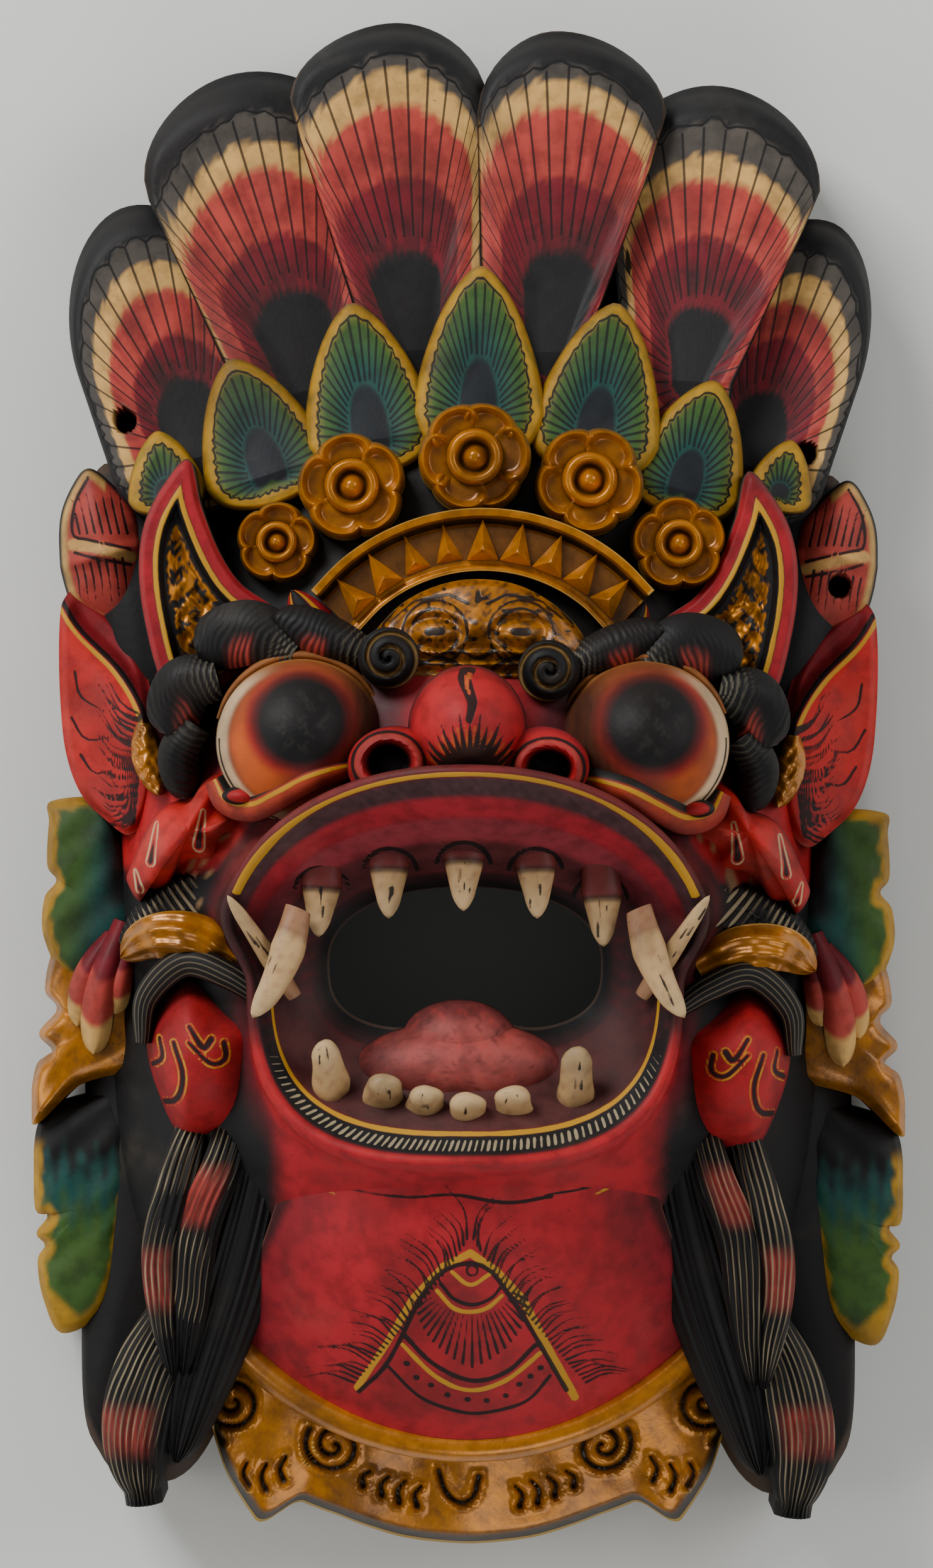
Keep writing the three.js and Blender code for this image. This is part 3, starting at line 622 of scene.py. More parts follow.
paintLook = {
    "contour": 0.42, "fade": 0.10, "mottle": 0.34, "line": 0.95, "ink": 0.95, "barb": 0.85, "rubAndHighlight": 0.28,
    "rubAndHighlightStart": 0.75, "under": srgb(120, 92, 70), "dirtAndShade": 0.8, "flecks": 0.35, "metal": 0.8, "rough": 0.60,
    "giltGloss": 0.20, "grime": 0.42, "specular": 0.32,
}
painted = carvedPaint("carved paint", paintLook)
# On the worn gilding the rubbed ridges take a pale bright gold: a painted highlight.
gilded = carvedPaint("worn gilding", dict(
    paintLook, metal=0.38, rough=0.42, giltGloss=0.16, grime=0.45, specular=0.5, rubAndHighlight=0.5, rubAndHighlightStart=0.35,
    under=srgb(244, 196, 92), fade=0.05, dirtAndShade=0.92, flecks=0.55))
enamel = carvedPaint("toothLacquer", dict(
    paintLook, rough=0.5, rubAndHighlight=0.2, rubAndHighlightStart=0.6, dirtAndShade=0.5, fade=0.1, under=srgb(150, 110, 70), mottle=0.12,
    flecks=0.6))
lacquer = carvedPaint("eye lacquer", dict(
    paintLook, rough=0.55, specular=0.22, rubAndHighlight=0.0, dirtAndShade=0.3, fade=0.05, mottle=0.1, flecks=0.2))
print("materials made")


# Head shell: rings round the mouth, over lips and face, then the back rim and the hollow.
mouth = {"x": -1.0, "y": -57.0, "squareAbove": 2.15, "squareBelow": 3.0}
faceRows = np.array([
    [43, 43, 24, 22, 97, 88, 92], [54, 52, 33, 34, 112, 92, 104], [64, 58, 43, 46, 130, 98, 115],
    [71, 62, 52, 54, 143, 104, 122], [76, 66, 59.5, 59.5, 151, 109, 128], [79, 68.5, 62.5, 63, 147, 106, 125],
    [80, 69, 62, 68, 128, 92, 114], [92, 84, 80, 90, 108, 80, 84], [106, 102, 122, 122, 90, 62, 58],
    [114, 114, 168, 150, 62, 44, 46], [118, 118, 196, 160, 44, 30, 36]], float)
hollowRows = [(9, 13, 13), (8, 10.4, 13), (7, 10.4, 13), (2, 2, 20.8), (0, -1.3, 13)]


def shellLoop(row, angle, bump=0.0):
    halfAbove, halfBelow, up, down, zAbove, zBeside, zBelow = row
    rise = ease(-0.1, 0.25, np.sin(angle))
    half = lerp(halfBelow, halfAbove, rise)
    reach = np.where(np.sin(angle) > 0, up, down)
    power = np.where(np.sin(angle) > 0, mouth["squareAbove"], mouth["squareBelow"])
    radius = (np.abs(np.cos(angle) / half) ** power + np.abs(np.sin(angle) / reach) ** power) ** (-1 / power)
    x, y = radius * np.cos(angle), radius * np.sin(angle)
    lift = np.where(y < 0, bump * np.exp(-(x / 13.0) ** 2), 0.0)
    z = lerp(zBeside, np.where(y > 0, zAbove, zBelow), np.sin(angle) ** 2)
    return np.column_stack([mouth["x"] + x, mouth["y"] + y + lift, z])


def rowsBetween(rows, count):
    padded = np.vstack([2 * rows[0] - rows[1], rows, 2 * rows[-1] - rows[-2]])
    at = np.linspace(0.0, len(rows) - 1, count)
    i = np.minimum(at.astype(int), len(rows) - 2)
    t = (at - i)[:, None]
    p0, p1, p2, p3 = (padded[i + k] for k in range(4))
    curve = 0.5 * (2 * p1 + (p2 - p0) * t + (2 * p0 - 5 * p1 + 4 * p2 - p3) * t ** 2
                   + (3 * p1 - p0 - 3 * p2 + p3) * t ** 3)
    return at, curve


def headShell():
    angle = np.linspace(0, 2 * math.pi, int(330 * fineness), endpoint=False)
    at, rows = rowsBetween(faceRows, int(150 * fineness))
    front = [shellLoop(row, angle, 8.0 * max(0.0, 1.0 - s)) for s, row in zip(at, rows)]
    rim = faceRows[-1].copy()
    rim[4:] = 0.0
    sideWall = [lerp(front[-1], shellLoop(rim, angle), t) for t in (0.25, 0.5, 0.75, 1.0)]
    inner = faceRows[-1] - 14.0
    inner[4:] = 0.0
    deep = inner.copy()
    deep[4:] = 8.0
    inside = [inner, deep]
    for follows, inset, sink in hollowRows:
        row = faceRows[follows].copy()
        row[:4] -= inset
        row[4:] -= sink
        inside.append(row)
    _, insideRows = rowsBetween(np.array(inside), int(24 * fineness))
    back = [shellLoop(row, angle) for row in insideRows]
    grid = np.array(front + sideWall + back)
    # Zones are told by s, the row of faceRows that a point lies at.
    behind = 30.0
    s = np.concatenate([at, np.full(len(grid) - len(at), behind)])[:, None] + 0 * angle
    turn = angle[None] + 0 * s
    above = ease(-0.25, 0.15, np.sin(turn))
    s, turn, above = s.ravel(), turn.ravel(), above.ravel()
    onFace, inHollow = s < behind, s == behind
    paint = Paint(grid, paints["crimson"])
    x, y = paint.x, paint.y
    speck = 0.5 + 0.5 * waver(x, y, 3.1, 2.0)

    def zone(start, end, soft=0.12):
        return ease(start - soft, start + soft, s) * (1.0 - ease(end - soft, end + soft, s))

    paint.cover(srgb(52, 24, 24), zone(-1, 0.6))
    paint.cover(paints["gum"], zone(0.6, 1.6) * above)
    paint.cover(paints["mauveRed"], zone(1.6, 2.35) * above)
    paint.cover(srgb(186, 40, 54), zone(2.35, 3.1) * above)
    speckled = blend(np.tile(paints["plum"], (len(s), 1)), paints["charcoal"], speck * 0.5)
    paint.cover(speckled, zone(3.1, 3.82) * above)
    paint.cover(srgb(120, 40, 40), zone(4.1, 6.2) * above)
    paint.cover(srgb(88, 44, 42), zone(0.6, 2.6) * (1 - above))
    paint.cover(paints["charcoal"], zone(2.75, 3.75) * (1 - above))
    paint.cover(paints["red"], zone(3.75, 6.0) * (1 - above))
    side = ease(0.5, 0.1, np.abs(np.sin(turn))) * zone(0.4, 4.0)
    paint.cover(srgb(66, 34, 36), side * 0.85)
    streak = side * ease(0.55, 0.8, 0.5 + 0.5 * waver(x, y * 2.2, 9.0, 1.0))
    paint.cover(paints["crimson"], streak * 0.35)
    paint.cover(paints["charcoal"], ease(6.0, 6.6, s) * onFace * (0.55 + 0.45 * ease(20, -30, y)))
    chin = ease(64, 55, np.abs(x)) * ease(-96, -104, y) * ease(3.9, 4.3, s) * onFace
    paint.cover(paints["throatRed"], chin)
    bridge = ease(5.9, 6.4, s) * ease(26, 12, np.abs(x)) * ease(-4, 8, y) * ease(42, 36, y) * onFace
    paint.cover(paints["throatRed"], bridge)
    paint.cover(paints["black"], ease(38, 46, y) * onFace)
    paint.cover(paints["bareWood"], inHollow)
    # The hollow's inside behind the mouth and the rows turning into the mouth opening are near black: painted
    # shade.
    paint.cover(srgb(6, 4, 4), inHollow * ease(104, 92, np.abs(x)))
    paint.cover(srgb(8, 5, 5), ease(0.45, 0.15, s))
    sides = ease(0.42, 0.25, np.abs(np.sin(turn))) * zone(3.6, 6.2)
    paint.cover(srgb(40, 20, 22), sides * 0.85)
    lipLine = np.where(np.sin(turn) > 0.28, s - 4.0, noLine) * 7.0
    paint.addField("line", np.abs(lipLine) - lerp(0.9, 2.2, ease(0.8, 0.4, np.sin(turn))))
    lowLine = np.where(above < 0.3, s - 2.7, noLine) * 8.0
    paint.addField("line", np.abs(lowLine) - 0.8)
    below = ease(-0.35, -0.75, np.sin(turn))
    band = zone(2.96, 3.48, 0.06)
    uneven = 0.75 + 0.35 * waver(x, y, 6.0, 3.0)
    pitch = 2.3
    paint.barbs(turn * 66.0 / pitch + 1.1 * (s - 3.2), pitch,
                np.where(band * below > 0.05, 0.62 * band * below * uneven, noBarbs), 1.0)
    for root in ([-46, -34], [-24.5, -28], [-1.5, -26], [21, -28], [41.5, -37]):
        turns = np.linspace(0.1, math.pi - 0.1, 9)
        arc = [[root[0] + 8.5 * math.cos(a), root[1] + 7.5 * math.sin(a)] for a in turns]
        paint.inkLines([(arc, 1.4, 1.4)], zone(0.2, 2.6) > 0.5)
    for side in (-1, 1):
        cheek = mirrored([(74, 8), (90, -6), (100, 2), (112, -6), (114, -26), (104, -38), (92, -31),
                          (80, -28), (70, -16)], side)
        paint.patch(cheek, paints["red"], 1.5, (s > 6.2) * onFace)
    hair = []
    for side in (-1, 1):
        for i in range(26):
            a = np.radians(90 - side * lerp(38, 84, i / 25))
            c = np.array([mouth["x"], mouth["y"]])
            reach = chance.uniform(96, 108)
            start = c + np.array([math.cos(a), math.sin(a)]) * reach * 0.86
            end = start + np.array([side * chance.uniform(9, 15), chance.uniform(-9, -5)])
            middle = (start + end) / 2 + np.array([0, 2.5])
            hair.append((np.vstack([start, middle, end]), 0.9, 0.3))
    strands = strokeField(x, y, hair)
    paint.cover(srgb(190, 150, 104), (strands < 0.0) * (s > 6.4) * onFace * 0.8)
    carving = Carving("headShell")
    carving.add(grid, paint, ring=True)
    piece = carving.build(painted)
    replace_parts(piece, "mask")
    loops = np.array(back)
    index = np.arange(loops.shape[0] * loops.shape[1]).reshape(loops.shape[:2])
    after = np.roll(index, -1, axis=1)
    quads = np.stack([index[:-1], after[:-1], after[1:], index[1:]], axis=-1).reshape(-1, 4)
    return BVHTree.FromPolygons(loops.reshape(-1, 3).tolist(), quads.tolist())


ceiling = headShell()


# Crown of broad feathers, each with coloured bands and fine barbs that fan out from its dark core.
crownFeathers = [
    dict(core=(-86.7, 106.4), tip=(-113.5, 190), left=(30, 31), right=(26, 33), z=37, tilt=-3.0,
         shoulder=0.45, widen=(1.12, 1.1), arch=0.02, bands=(0.31, 0.47, 0.65, 0.76, 0.85)),
    dict(core=(-49.7, 128), tip=(-78, 233), left=(24, 37), right=(28, 37), z=42, tilt=-3.5,
         shoulder=0.7, widen=(1.35, 1.0), arch=0.06, bands=(0.31, 0.48, 0.69, 0.77, 0.86)),
    dict(core=(-16.3, 140), tip=(-25, 249.2), left=(16, 35.5), right=(22, 29), z=46.5, tilt=-3.5,
         shoulder=0.76, widen=(1.42, 1.1), arch=0.075, bands=(0.30, 0.52, 0.735, 0.84, 0.885)),
    dict(core=(28.5, 139), tip=(29, 246), left=(24, 26), right=(9, 36), z=50, tilt=0.0,
         shoulder=0.72, widen=(1.36, 1.32), arch=0.075, bands=(0.31, 0.53, 0.745, 0.83, 0.875)),
    dict(core=(72.8, 130), tip=(82, 229), left=(24, 34), right=(13, 36), z=44, tilt=3.5,
         shoulder=0.66, widen=(1.1, 1.36), arch=0.05, bands=(0.25, 0.48, 0.67, 0.75, 0.86)),
    dict(core=(90.9, 103.2), tip=(119.5, 185), left=(24, 32), right=(26, 26), z=38, tilt=3.0,
         shoulder=0.45, widen=(1.1, 1.14), arch=0.02, bands=(0.31, 0.52, 0.66, 0.77, 0.86)),
]
bandColours = ["crimson", "pinkRed", "cream", "bandGrey", "charcoal"]
cordHoles = [(-112, 118), (110, 107), (121, 64)]
woodCheck = [([[49.5, 178], [51.5, 174], [52.5, 169.5], [52, 166]], 0.6, 2.2)]


def cordPits(grid, floor):
    # The cord holes, as dark pits in whatever lies over them.
    for hx, hy in cordHoles:
        grid[..., 2] -= 14.0 * ease(3.9, 2.9, np.hypot(grid[..., 0] - hx, grid[..., 1] - hy))
    grid[..., 2] = np.maximum(grid[..., 2], floor)


def pitShade(paint):
    for hx, hy in cordHoles:
        paint.cover(srgb(10, 8, 8), ease(4.0, 3.4, np.hypot(paint.x - hx, paint.y - hy)))


def crownFeather(number, blade):
    blade = dict(blade, power=1.9)
    featherFloor, pitch = 14.0, 6.3

    def height(local):
        q, forward = local["q"], np.clip(local["forward"], 0.0, 1.0)
        z = blade["z"] + 13.0 * (1.0 - forward) ** 2 + blade["tilt"] * local["side"] / 30.0
        z = z - 2.6 * (1.0 - ease(0.2, 0.8, q)) - 2.4 * (local["side"] / 34.0) ** 2
        z = z - 7.5 * ease(blade["bands"][-1], 1.0, local["band"]) ** 1.4 - 2.0 * ease(0.95, 1.0, q)
        return z - 0.22 * np.cos(2 * math.pi * local["phase"]) * ease(0.3, 0.5, q) * (q < 0.86)

    grid, local = bladeForm(blade, height, featherFloor, 190, 90, pitch)
    cordPits(grid, featherFloor)
    paint = Paint(grid, paints["charcoal"])
    q = local["band"] + 0.006 * np.cos(2 * math.pi * local["phase"]) + chance.uniform(-0.01, 0.01)
    q = q + 0.007 * waver(paint.x, paint.y, 12.0, number) + blade["arch"] * (local["side"] / 30.0) ** 2
    for i, (start, key) in enumerate(zip(blade["bands"], bandColours)):
        soft = 0.014 if i < 3 else 0.006
        paint.cover(paints[key], ease(start - soft, start + soft, q))
    rimStart = blade["bands"][-1]
    streaky = 0.5 + 0.5 * np.sin(local["fan"] * 61.0 + 3.0 * np.sin(local["fan"] * 23.0 + number))
    paint.cover(paints["crimson"], ease(0.44, 0.60, q) * (1 - ease(0.6, 0.72, q)) * streaky * 0.55)
    paint.cover(paints["charcoal"], ease(0.26, 0.33, q) * (1 - ease(0.33, 0.46, q)) * streaky * 0.7)
    paint.colour = paint.colour * (1.0 + 0.10 * waver(paint.x, paint.y, 17.0, number))[:, None]
    inside = local["top"] & (q > blade["bands"][0] + 0.03) & (q < rimStart)
    taper = lerp(0.34, 0.44, np.clip((q - 0.25) / 0.6, 0, 1))
    paint.barbs(local["phase"] + 0.02 * np.sin(local["q"] * 9.0 + number),
                np.maximum(pitch * local["q"] / 0.74, 1.0), np.where(inside, taper, noBarbs))
    scallop = 0.8 * np.cos(4 * math.pi * local["phase"])
    paint.contour = np.where(local["top"], (q - rimStart) * local["reach"] + scallop, noLine)
    paint.cover(paints["black"], ease(1.5, 0.6, (1.0 - local["q"]) * local["reach"] * 0.7) * (q < rimStart))
    paint.inkLines(woodCheck)
    pitShade(paint)
    carve("crownFeather" + str(number), grid, paint, painted)


for number, blade in enumerate(crownFeathers, 1):
    crownFeather(number, blade)


# Second row of green leaves with a mustard border.
leafYellow = srgb(188, 140, 28)
greenLeaves = [
    dict(core=(-97, 92), tip=(-101, 114), half=13, z=57, pitch=3.0),
    dict(core=(-64, 99), tip=(-77, 137), half=21, z=61, pitch=3.1),
    dict(core=(-31, 110), tip=(-38, 155), half=21.5, z=62.5, pitch=3.1),
    dict(core=(3.3, 116), tip=(4, 167), half=21.5, z=64, pitch=3.1),
    dict(core=(40, 109), tip=(48, 155), half=21.5, z=62.5, pitch=3.1),
    dict(core=(69, 94), tip=(80, 130), half=19, z=61, pitch=3.1),
    dict(core=(100, 92), tip=(105, 111), half=11, z=57, pitch=3.0),
]


def greenLeaf(carving, leaf):
    blade = dict(leaf, left=(leaf["half"] * 0.95, leaf["half"]), right=(leaf["half"] * 0.95, leaf["half"]),
                 shoulder=0.02, power=1.55)

    def height(local):
        q, forward = local["q"], np.clip(local["forward"], 0, 1)
        z = leaf["z"] + 9.0 * (1.0 - forward) ** 1.5 - 3.5 * (local["side"] / leaf["half"]) ** 2
        return z - 1.6 * (1.0 - ease(0.3, 0.75, q)) - 2.6 * ease(0.88, 1.0, q) ** 2

    grid, local = bladeForm(blade, height, 30.0, 130, 44, leaf["pitch"])
    paint = Paint(grid, srgb(22, 29, 36))
    inward = (1.0 - local["q"]) * local["reach"]
    wave = 0.55 * np.cos(2 * math.pi * local["phase"])
    core = np.hypot(local["side"], (local["forward"] - 0.08) * 19.0) / leaf["half"]
    paint.cover(paints["teal"], ease(0.26, 0.31, core))
    paint.cover(paints["leafGreen"], ease(0.32, 0.66, core) * 0.95)
    paint.cover(paints["leafGreen"], ease(9.0, 6.0, inward))
    paint.cover(blend(paints["leafGreen"], paints["mustard"], 0.16), ease(7.5, 4.8, inward))
    paint.cover(leafYellow, ease(4.6, 4.1, inward + wave))
    stained = ease(0.2, 1.2, waver(paint.x, paint.y, 9.0, 2.0))
    paint.cover(paints["leafGreen"], ease(4.6, 2.0, inward + wave) * stained * 0.5)
    paint.cover(paints["bronze"], ease(0.8, 0.0, inward) * 0.6)
    paint.cover(paints["charcoal"], ~local["top"])
    paint.contour = np.where(local["top"], inward - 4.5 + wave, noLine)
    paint.barbs(local["phase"], np.maximum(leaf["pitch"] * local["q"] / 0.9, 1.0),
                np.where(local["top"] & (inward > 4.5) & (core > 0.30), 0.38, noBarbs))
    carving.add(grid, paint)


carving = Carving("greenLeaves")
for leaf in greenLeaves:
    greenLeaf(carving, leaf)
carving.build(painted)


# Flat board behind crown and ears, and the simple boards at the sides.
def board(name, outline, middle, edge, top, floor):
    def height(x, y, gap, share):
        return lerp(top, edge, share ** 2) - 2.0 * ease(2.0, 0.0, gap)

    grid, local = padForm(outline, middle, height, floor, 200, 20)
    paint = Paint(grid, paints["black"])
    worn = ease(0.0, 0.6, 0.5 + 0.5 * waver(paint.x, paint.y, 14.0, 4.0)) * 0.35
    paint.cover(paints["black"] * 0.5, worn)
    cordPits(grid, floor)
    pitShade(paint)
    carve(name, grid, paint, painted)


crownBack = [(108, 84), (113, 104), (108, 150), (70, 190), (0, 204), (-70, 190), (-108, 150), (-113, 104),
             (-108, 84), (-60, 70), (0, 64), (60, 70)]
board("crownBack", crownBack, (0, 120), 22, 30, 12)
earPanel = [(84, 92), (112, 104), (124, 98), (128, 62), (129, 20), (124, -12), (104, -36), (84, -10),
            (76, 40)]
backPanel = [(100, -44), (124, -56), (126, -120), (127, -200), (121, -222), (112, -230), (96, -230),
             (84, -216), (76, -190), (76, -120)]
for word, side in (("left", -1), ("right", 1)):
    board(word + "EarPanel", mirrored(earPanel, side), (104 * side, 34), 34, 48, 8)
    board(word + "BackPanel", mirrored(backPanel, side), (104 * side, -140), 34, 44, 0.2)


# Geometry Nodes tree that sets copies of one form round a circle or along an arc.
def ringTree():
    tree = bpy.data.node_groups.new("copies round a circle", "GeometryNodeTree")
    face = tree.interface
    face.new_socket("Geometry", in_out="INPUT", socket_type="NodeSocketGeometry")
    sockets = {}
    for key, kind in (("Form", "Object"), ("Count", "Int"), ("Radius", "Float"), ("Start", "Float"),
                      ("Step", "Float"), ("Unevenness", "Float"), ("Material", "Material")):
        made = face.new_socket(key, in_out="INPUT", socket_type="NodeSocket" + kind)
        sockets[key] = made.identifier
    face.new_socket("Geometry", in_out="OUTPUT", socket_type="NodeSocketGeometry")
    given = tree.nodes.new("NodeGroupInput")
    base = Wire(tree)

    def value(key):
        return Wire(tree, given.outputs[key])

    points = base.node("GeometryNodePoints", {}, {"Count": value("Count")})
    index = base.node("GeometryNodeInputIndex")
    angle = value("Start") + index * value("Step")
    along, up = angle.math("COSINE") * value("Radius"), angle.math("SINE") * value("Radius")
    place = base.node("ShaderNodeCombineXYZ", {}, (along, up, 0.0))
    moved = base.node("GeometryNodeSetPosition", {}, {"Geometry": points, "Position": place})
    form = base.node("GeometryNodeObjectInfo", {}, {"Object": value("Form")}, "Geometry")
    turned = base.node("ShaderNodeCombineXYZ", {}, (0.0, 0.0, angle))
    least, most = 1.0 - value("Unevenness"), value("Unevenness") + 1.0
    wobble = base.node("FunctionNodeRandomValue", {"data_type": "FLOAT"}, {2: least, 3: most, "Seed": 3}, 1)
    copies = base.node("GeometryNodeInstanceOnPoints", {},
                       {"Points": moved, "Instance": form, "Rotation": turned, "Scale": wobble})
    real = base.node("GeometryNodeRealizeInstances", {}, {"Geometry": copies})
    coated = base.node("GeometryNodeSetMaterial", {}, {"Geometry": real, "Material": value("Material")})
    base.node("NodeGroupOutput", {}, (coated,))
    return tree, sockets


ringNodes, ringSockets = ringTree()


def copiesRound(name, form, centre, settings, material):
    # Makes the copies, fixes them as one mesh at its place in the frame, and lets go of the modifier.
    holder = bpy.data.objects.new(name + "Maker", bpy.data.meshes.new(name + "Maker"))
    bpy.context.scene.collection.objects.link(holder)
    modifier = holder.modifiers.new("copies", "NODES")
    modifier.node_group = ringNodes
    for key, value in {**settings, "Form": form, "Material": material}.items():
        modifier[ringSockets[key]] = value
    bpy.context.view_layer.update()
    depsgraph = bpy.context.evaluated_depsgraph_get()
    mesh = bpy.data.meshes.new_from_object(holder.evaluated_get(depsgraph), depsgraph=depsgraph)
    bpy.data.objects.remove(holder)
    points = np.empty(len(mesh.vertices) * 3)
    mesh.vertices.foreach_get("co", points)
    points = points.reshape(-1, 3) + np.array(centre) * metre
    mesh.vertices.foreach_set("co", points.ravel())
    mesh.update()
    return placePiece(name, mesh)


def looseForm(carving, material):
    # A form kept only as the pattern for copies.
    piece = carving.build(material, pattern=True)
    for collection in list(piece.users_collection):
        collection.objects.unlink(piece)
    return piece


# Gilded flowers in front of the leaves: round cupped petals, a ring and a boss in the middle. Each has
# its centre, radius, height, number of petals and turn.
flowers = [((-61, 76.5), 13.0, 83, 5, 0.2), ((-37, 94), 17.2, 88, 5, 0.5), ((2, 103), 17.8, 91, 6, 0.1),
           ((38.5, 96), 17.4, 88, 5, 0.95), ((67, 76), 15.2, 84, 5, 0.4)]

flowerFloor = 56.0


def petalForm(radius, top):
    lobe = radius * 0.40
    grid = domeForm((0, 0, 0), (1, 1, 1), around=66, rings=36, low=0.0)
    x, y = grid[..., 0].copy(), grid[..., 1].copy()
    rho = np.hypot(x, y)
    grid[..., 0] = x * lobe * (1.0 - 0.16 * y ** 2)
    grid[..., 1] = y * lobe * (1.36 + 0.16 * x)
    lip = np.exp(-((rho - 0.78) / 0.14) ** 2) * ease(-0.45, 0.2, x)
    grid[..., 2] = top - 3.2 + 3.6 * lip - 3.4 * ease(0.84, 1.0, rho) - 1.4 * ease(0.1, -0.8, x)
    grid[-2:, :, 2] = flowerFloor
    paint = Paint(grid, paints["bronze"])
    lip, rho = lip.ravel(), rho.ravel()
    worn = ease(-0.6, 0.8, waver(paint.x, paint.y, 5.0, 3.0))
    paint.gild(np.clip(0.72 + 0.4 * lip + 0.2 * worn, 0, 1))
    paint.cover(srgb(96, 54, 22), (1 - lip) * ease(0.92, 0.6, rho) * (0.1 + 0.35 * worn))
    paint.cover(srgb(34, 22, 12), ease(0.93, 1.0, rho) * 0.95)
    carving = Carving("petal")
    carving.add(grid, paint)
    return looseForm(carving, gilded), lobe


carving = Carving("flowerHearts")
for number, (centre, radius, top, petals, start) in enumerate(flowers, 1):
    petal, lobe = petalForm(radius, top)
    copiesRound("flower" + str(number), petal, (*centre, 0.0),
                {"Count": petals, "Radius": (radius - lobe) * metre, "Start": start,
                 "Step": 2 * math.pi / petals, "Unevenness": 0.03}, gilded)
    heart = radius * 0.54
    grid = domeForm((*centre, 0), (heart, heart, 1.0), around=80, rings=44, low=0.0)
    rho = np.hypot(grid[..., 0] - centre[0], grid[..., 1] - centre[1]) / heart
    grid[..., 2] = (top + 1.0 + 2.6 * np.exp(-((rho - 0.74) / 0.15) ** 4) + 2.6 * np.exp(-(rho / 0.26) ** 4)
                    - 1.6 * np.exp(-((rho - 0.47) / 0.10) ** 2) - 4.0 * ease(0.90, 1.0, rho))
    grid[-2:, :, 2] = flowerFloor
    paint = Paint(grid, paints["bronze"])
    paint.gild(0.95)
    paint.cover(srgb(40, 26, 14), np.exp(-((rho - 0.47) / 0.09) ** 2) * 0.9)
    paint.cover(srgb(34, 22, 12), ease(0.90, 0.98, rho) * 0.95)
    carving.add(grid, paint)
    bpy.data.objects.remove(petal)
carving.build(gilded)


# Gilded diadem: a bent band with a raised rim, and a row of pointed teeth set along it.
def goldPaint(grid, worn=0.25, dark=None):
    paint = Paint(grid, paints["bronze"])
    patchy = 0.6 * waver(paint.x, paint.y, 7.0, 1.0) + 0.5 * waver(paint.x, paint.y, 2.4, 2.0)
    paint.gild(np.clip(1.0 - 0.4 * worn + 0.5 * worn * patchy, 0, 1))
    paint.cover(srgb(92, 52, 20), ease(0.1, 1.0, -patchy) * worn)
    if dark is not None:
        paint.cover(srgb(44, 30, 18), dark)
        paint.gilt = paint.gilt * (1.0 - np.ravel(dark))
    return paint


diadem = {"x": 4.5, "y": 17.0, "inner": 50.0, "outer": 69.0, "from": 38.0, "to": 142.0, "z": 95.0, "teeth": 9}


def wayAt(degrees):
    return np.array([math.cos(math.radians(degrees)), math.sin(math.radians(degrees))])


def arcLine(centre, radius, start, end, z, count=9):
    turns = np.radians(np.linspace(start, end, count))
    return np.column_stack([centre[0] + radius * np.cos(turns), centre[1] + radius * np.sin(turns),
                            np.broadcast_to(z, turns.shape)])


def diademBand():
    def relief(u, t):
        rim = 4.6 * ease(-0.66, -0.76, u)
        groove = -2.0 * np.exp(-((u + 0.58) / 0.09) ** 2)
        return rim + groove + 2.4 * ease(0.78, 0.9, u)

    centre = (diadem["x"], diadem["y"])
    middle = (diadem["inner"] + diadem["outer"]) / 2
    grid, local = stripForm(arcLine(centre, middle, diadem["from"], diadem["to"], diadem["z"]),
                            lambda t: 9.8 + 0 * t, 0.0, 58.0, 150, 64, relief)
    u = local["u"]
    dark = np.where(np.abs(u + 0.60) < 0.1, 0.92, np.where(np.abs(u - 0.08) < 0.56, 0.72, 0.0))
    carve("diademBand", grid, goldPaint(grid, 0.2, dark * local["top"]), gilded)
    tooth = Carving("diademTooth")
    edge = np.vstack([np.column_stack([np.linspace(6.8, -5.6, 26), np.linspace(0.0, 4.9, 26)]),
                      np.column_stack([np.full(16, -5.8), np.linspace(4.6, -4.6, 16)]),
                      np.column_stack([np.linspace(-5.6, 6.6, 25), np.linspace(-4.9, -0.2, 25)])])
    grid, local = padForm(edge, (-2.5, 0), lambda x, y, gap, share: 95.3 + 4.6 * (1 - share ** 1.2),
                          88.0, len(edge), 24, closed=False)
    tooth.add(grid, goldPaint(grid, 0.1))
    pattern = looseForm(tooth, gilded)
    step = math.radians((diadem["to"] - diadem["from"] - 4) / diadem["teeth"])
    copiesRound("diademTeeth", pattern, (*centre, 0.0),
                {"Count": diadem["teeth"], "Radius": (middle - 0.6) * metre,
                 "Start": math.radians(diadem["from"] + 2) + step / 2, "Step": step,
                 "Unevenness": 0.02}, gilded)
    bpy.data.objects.remove(pattern)


diademBand()


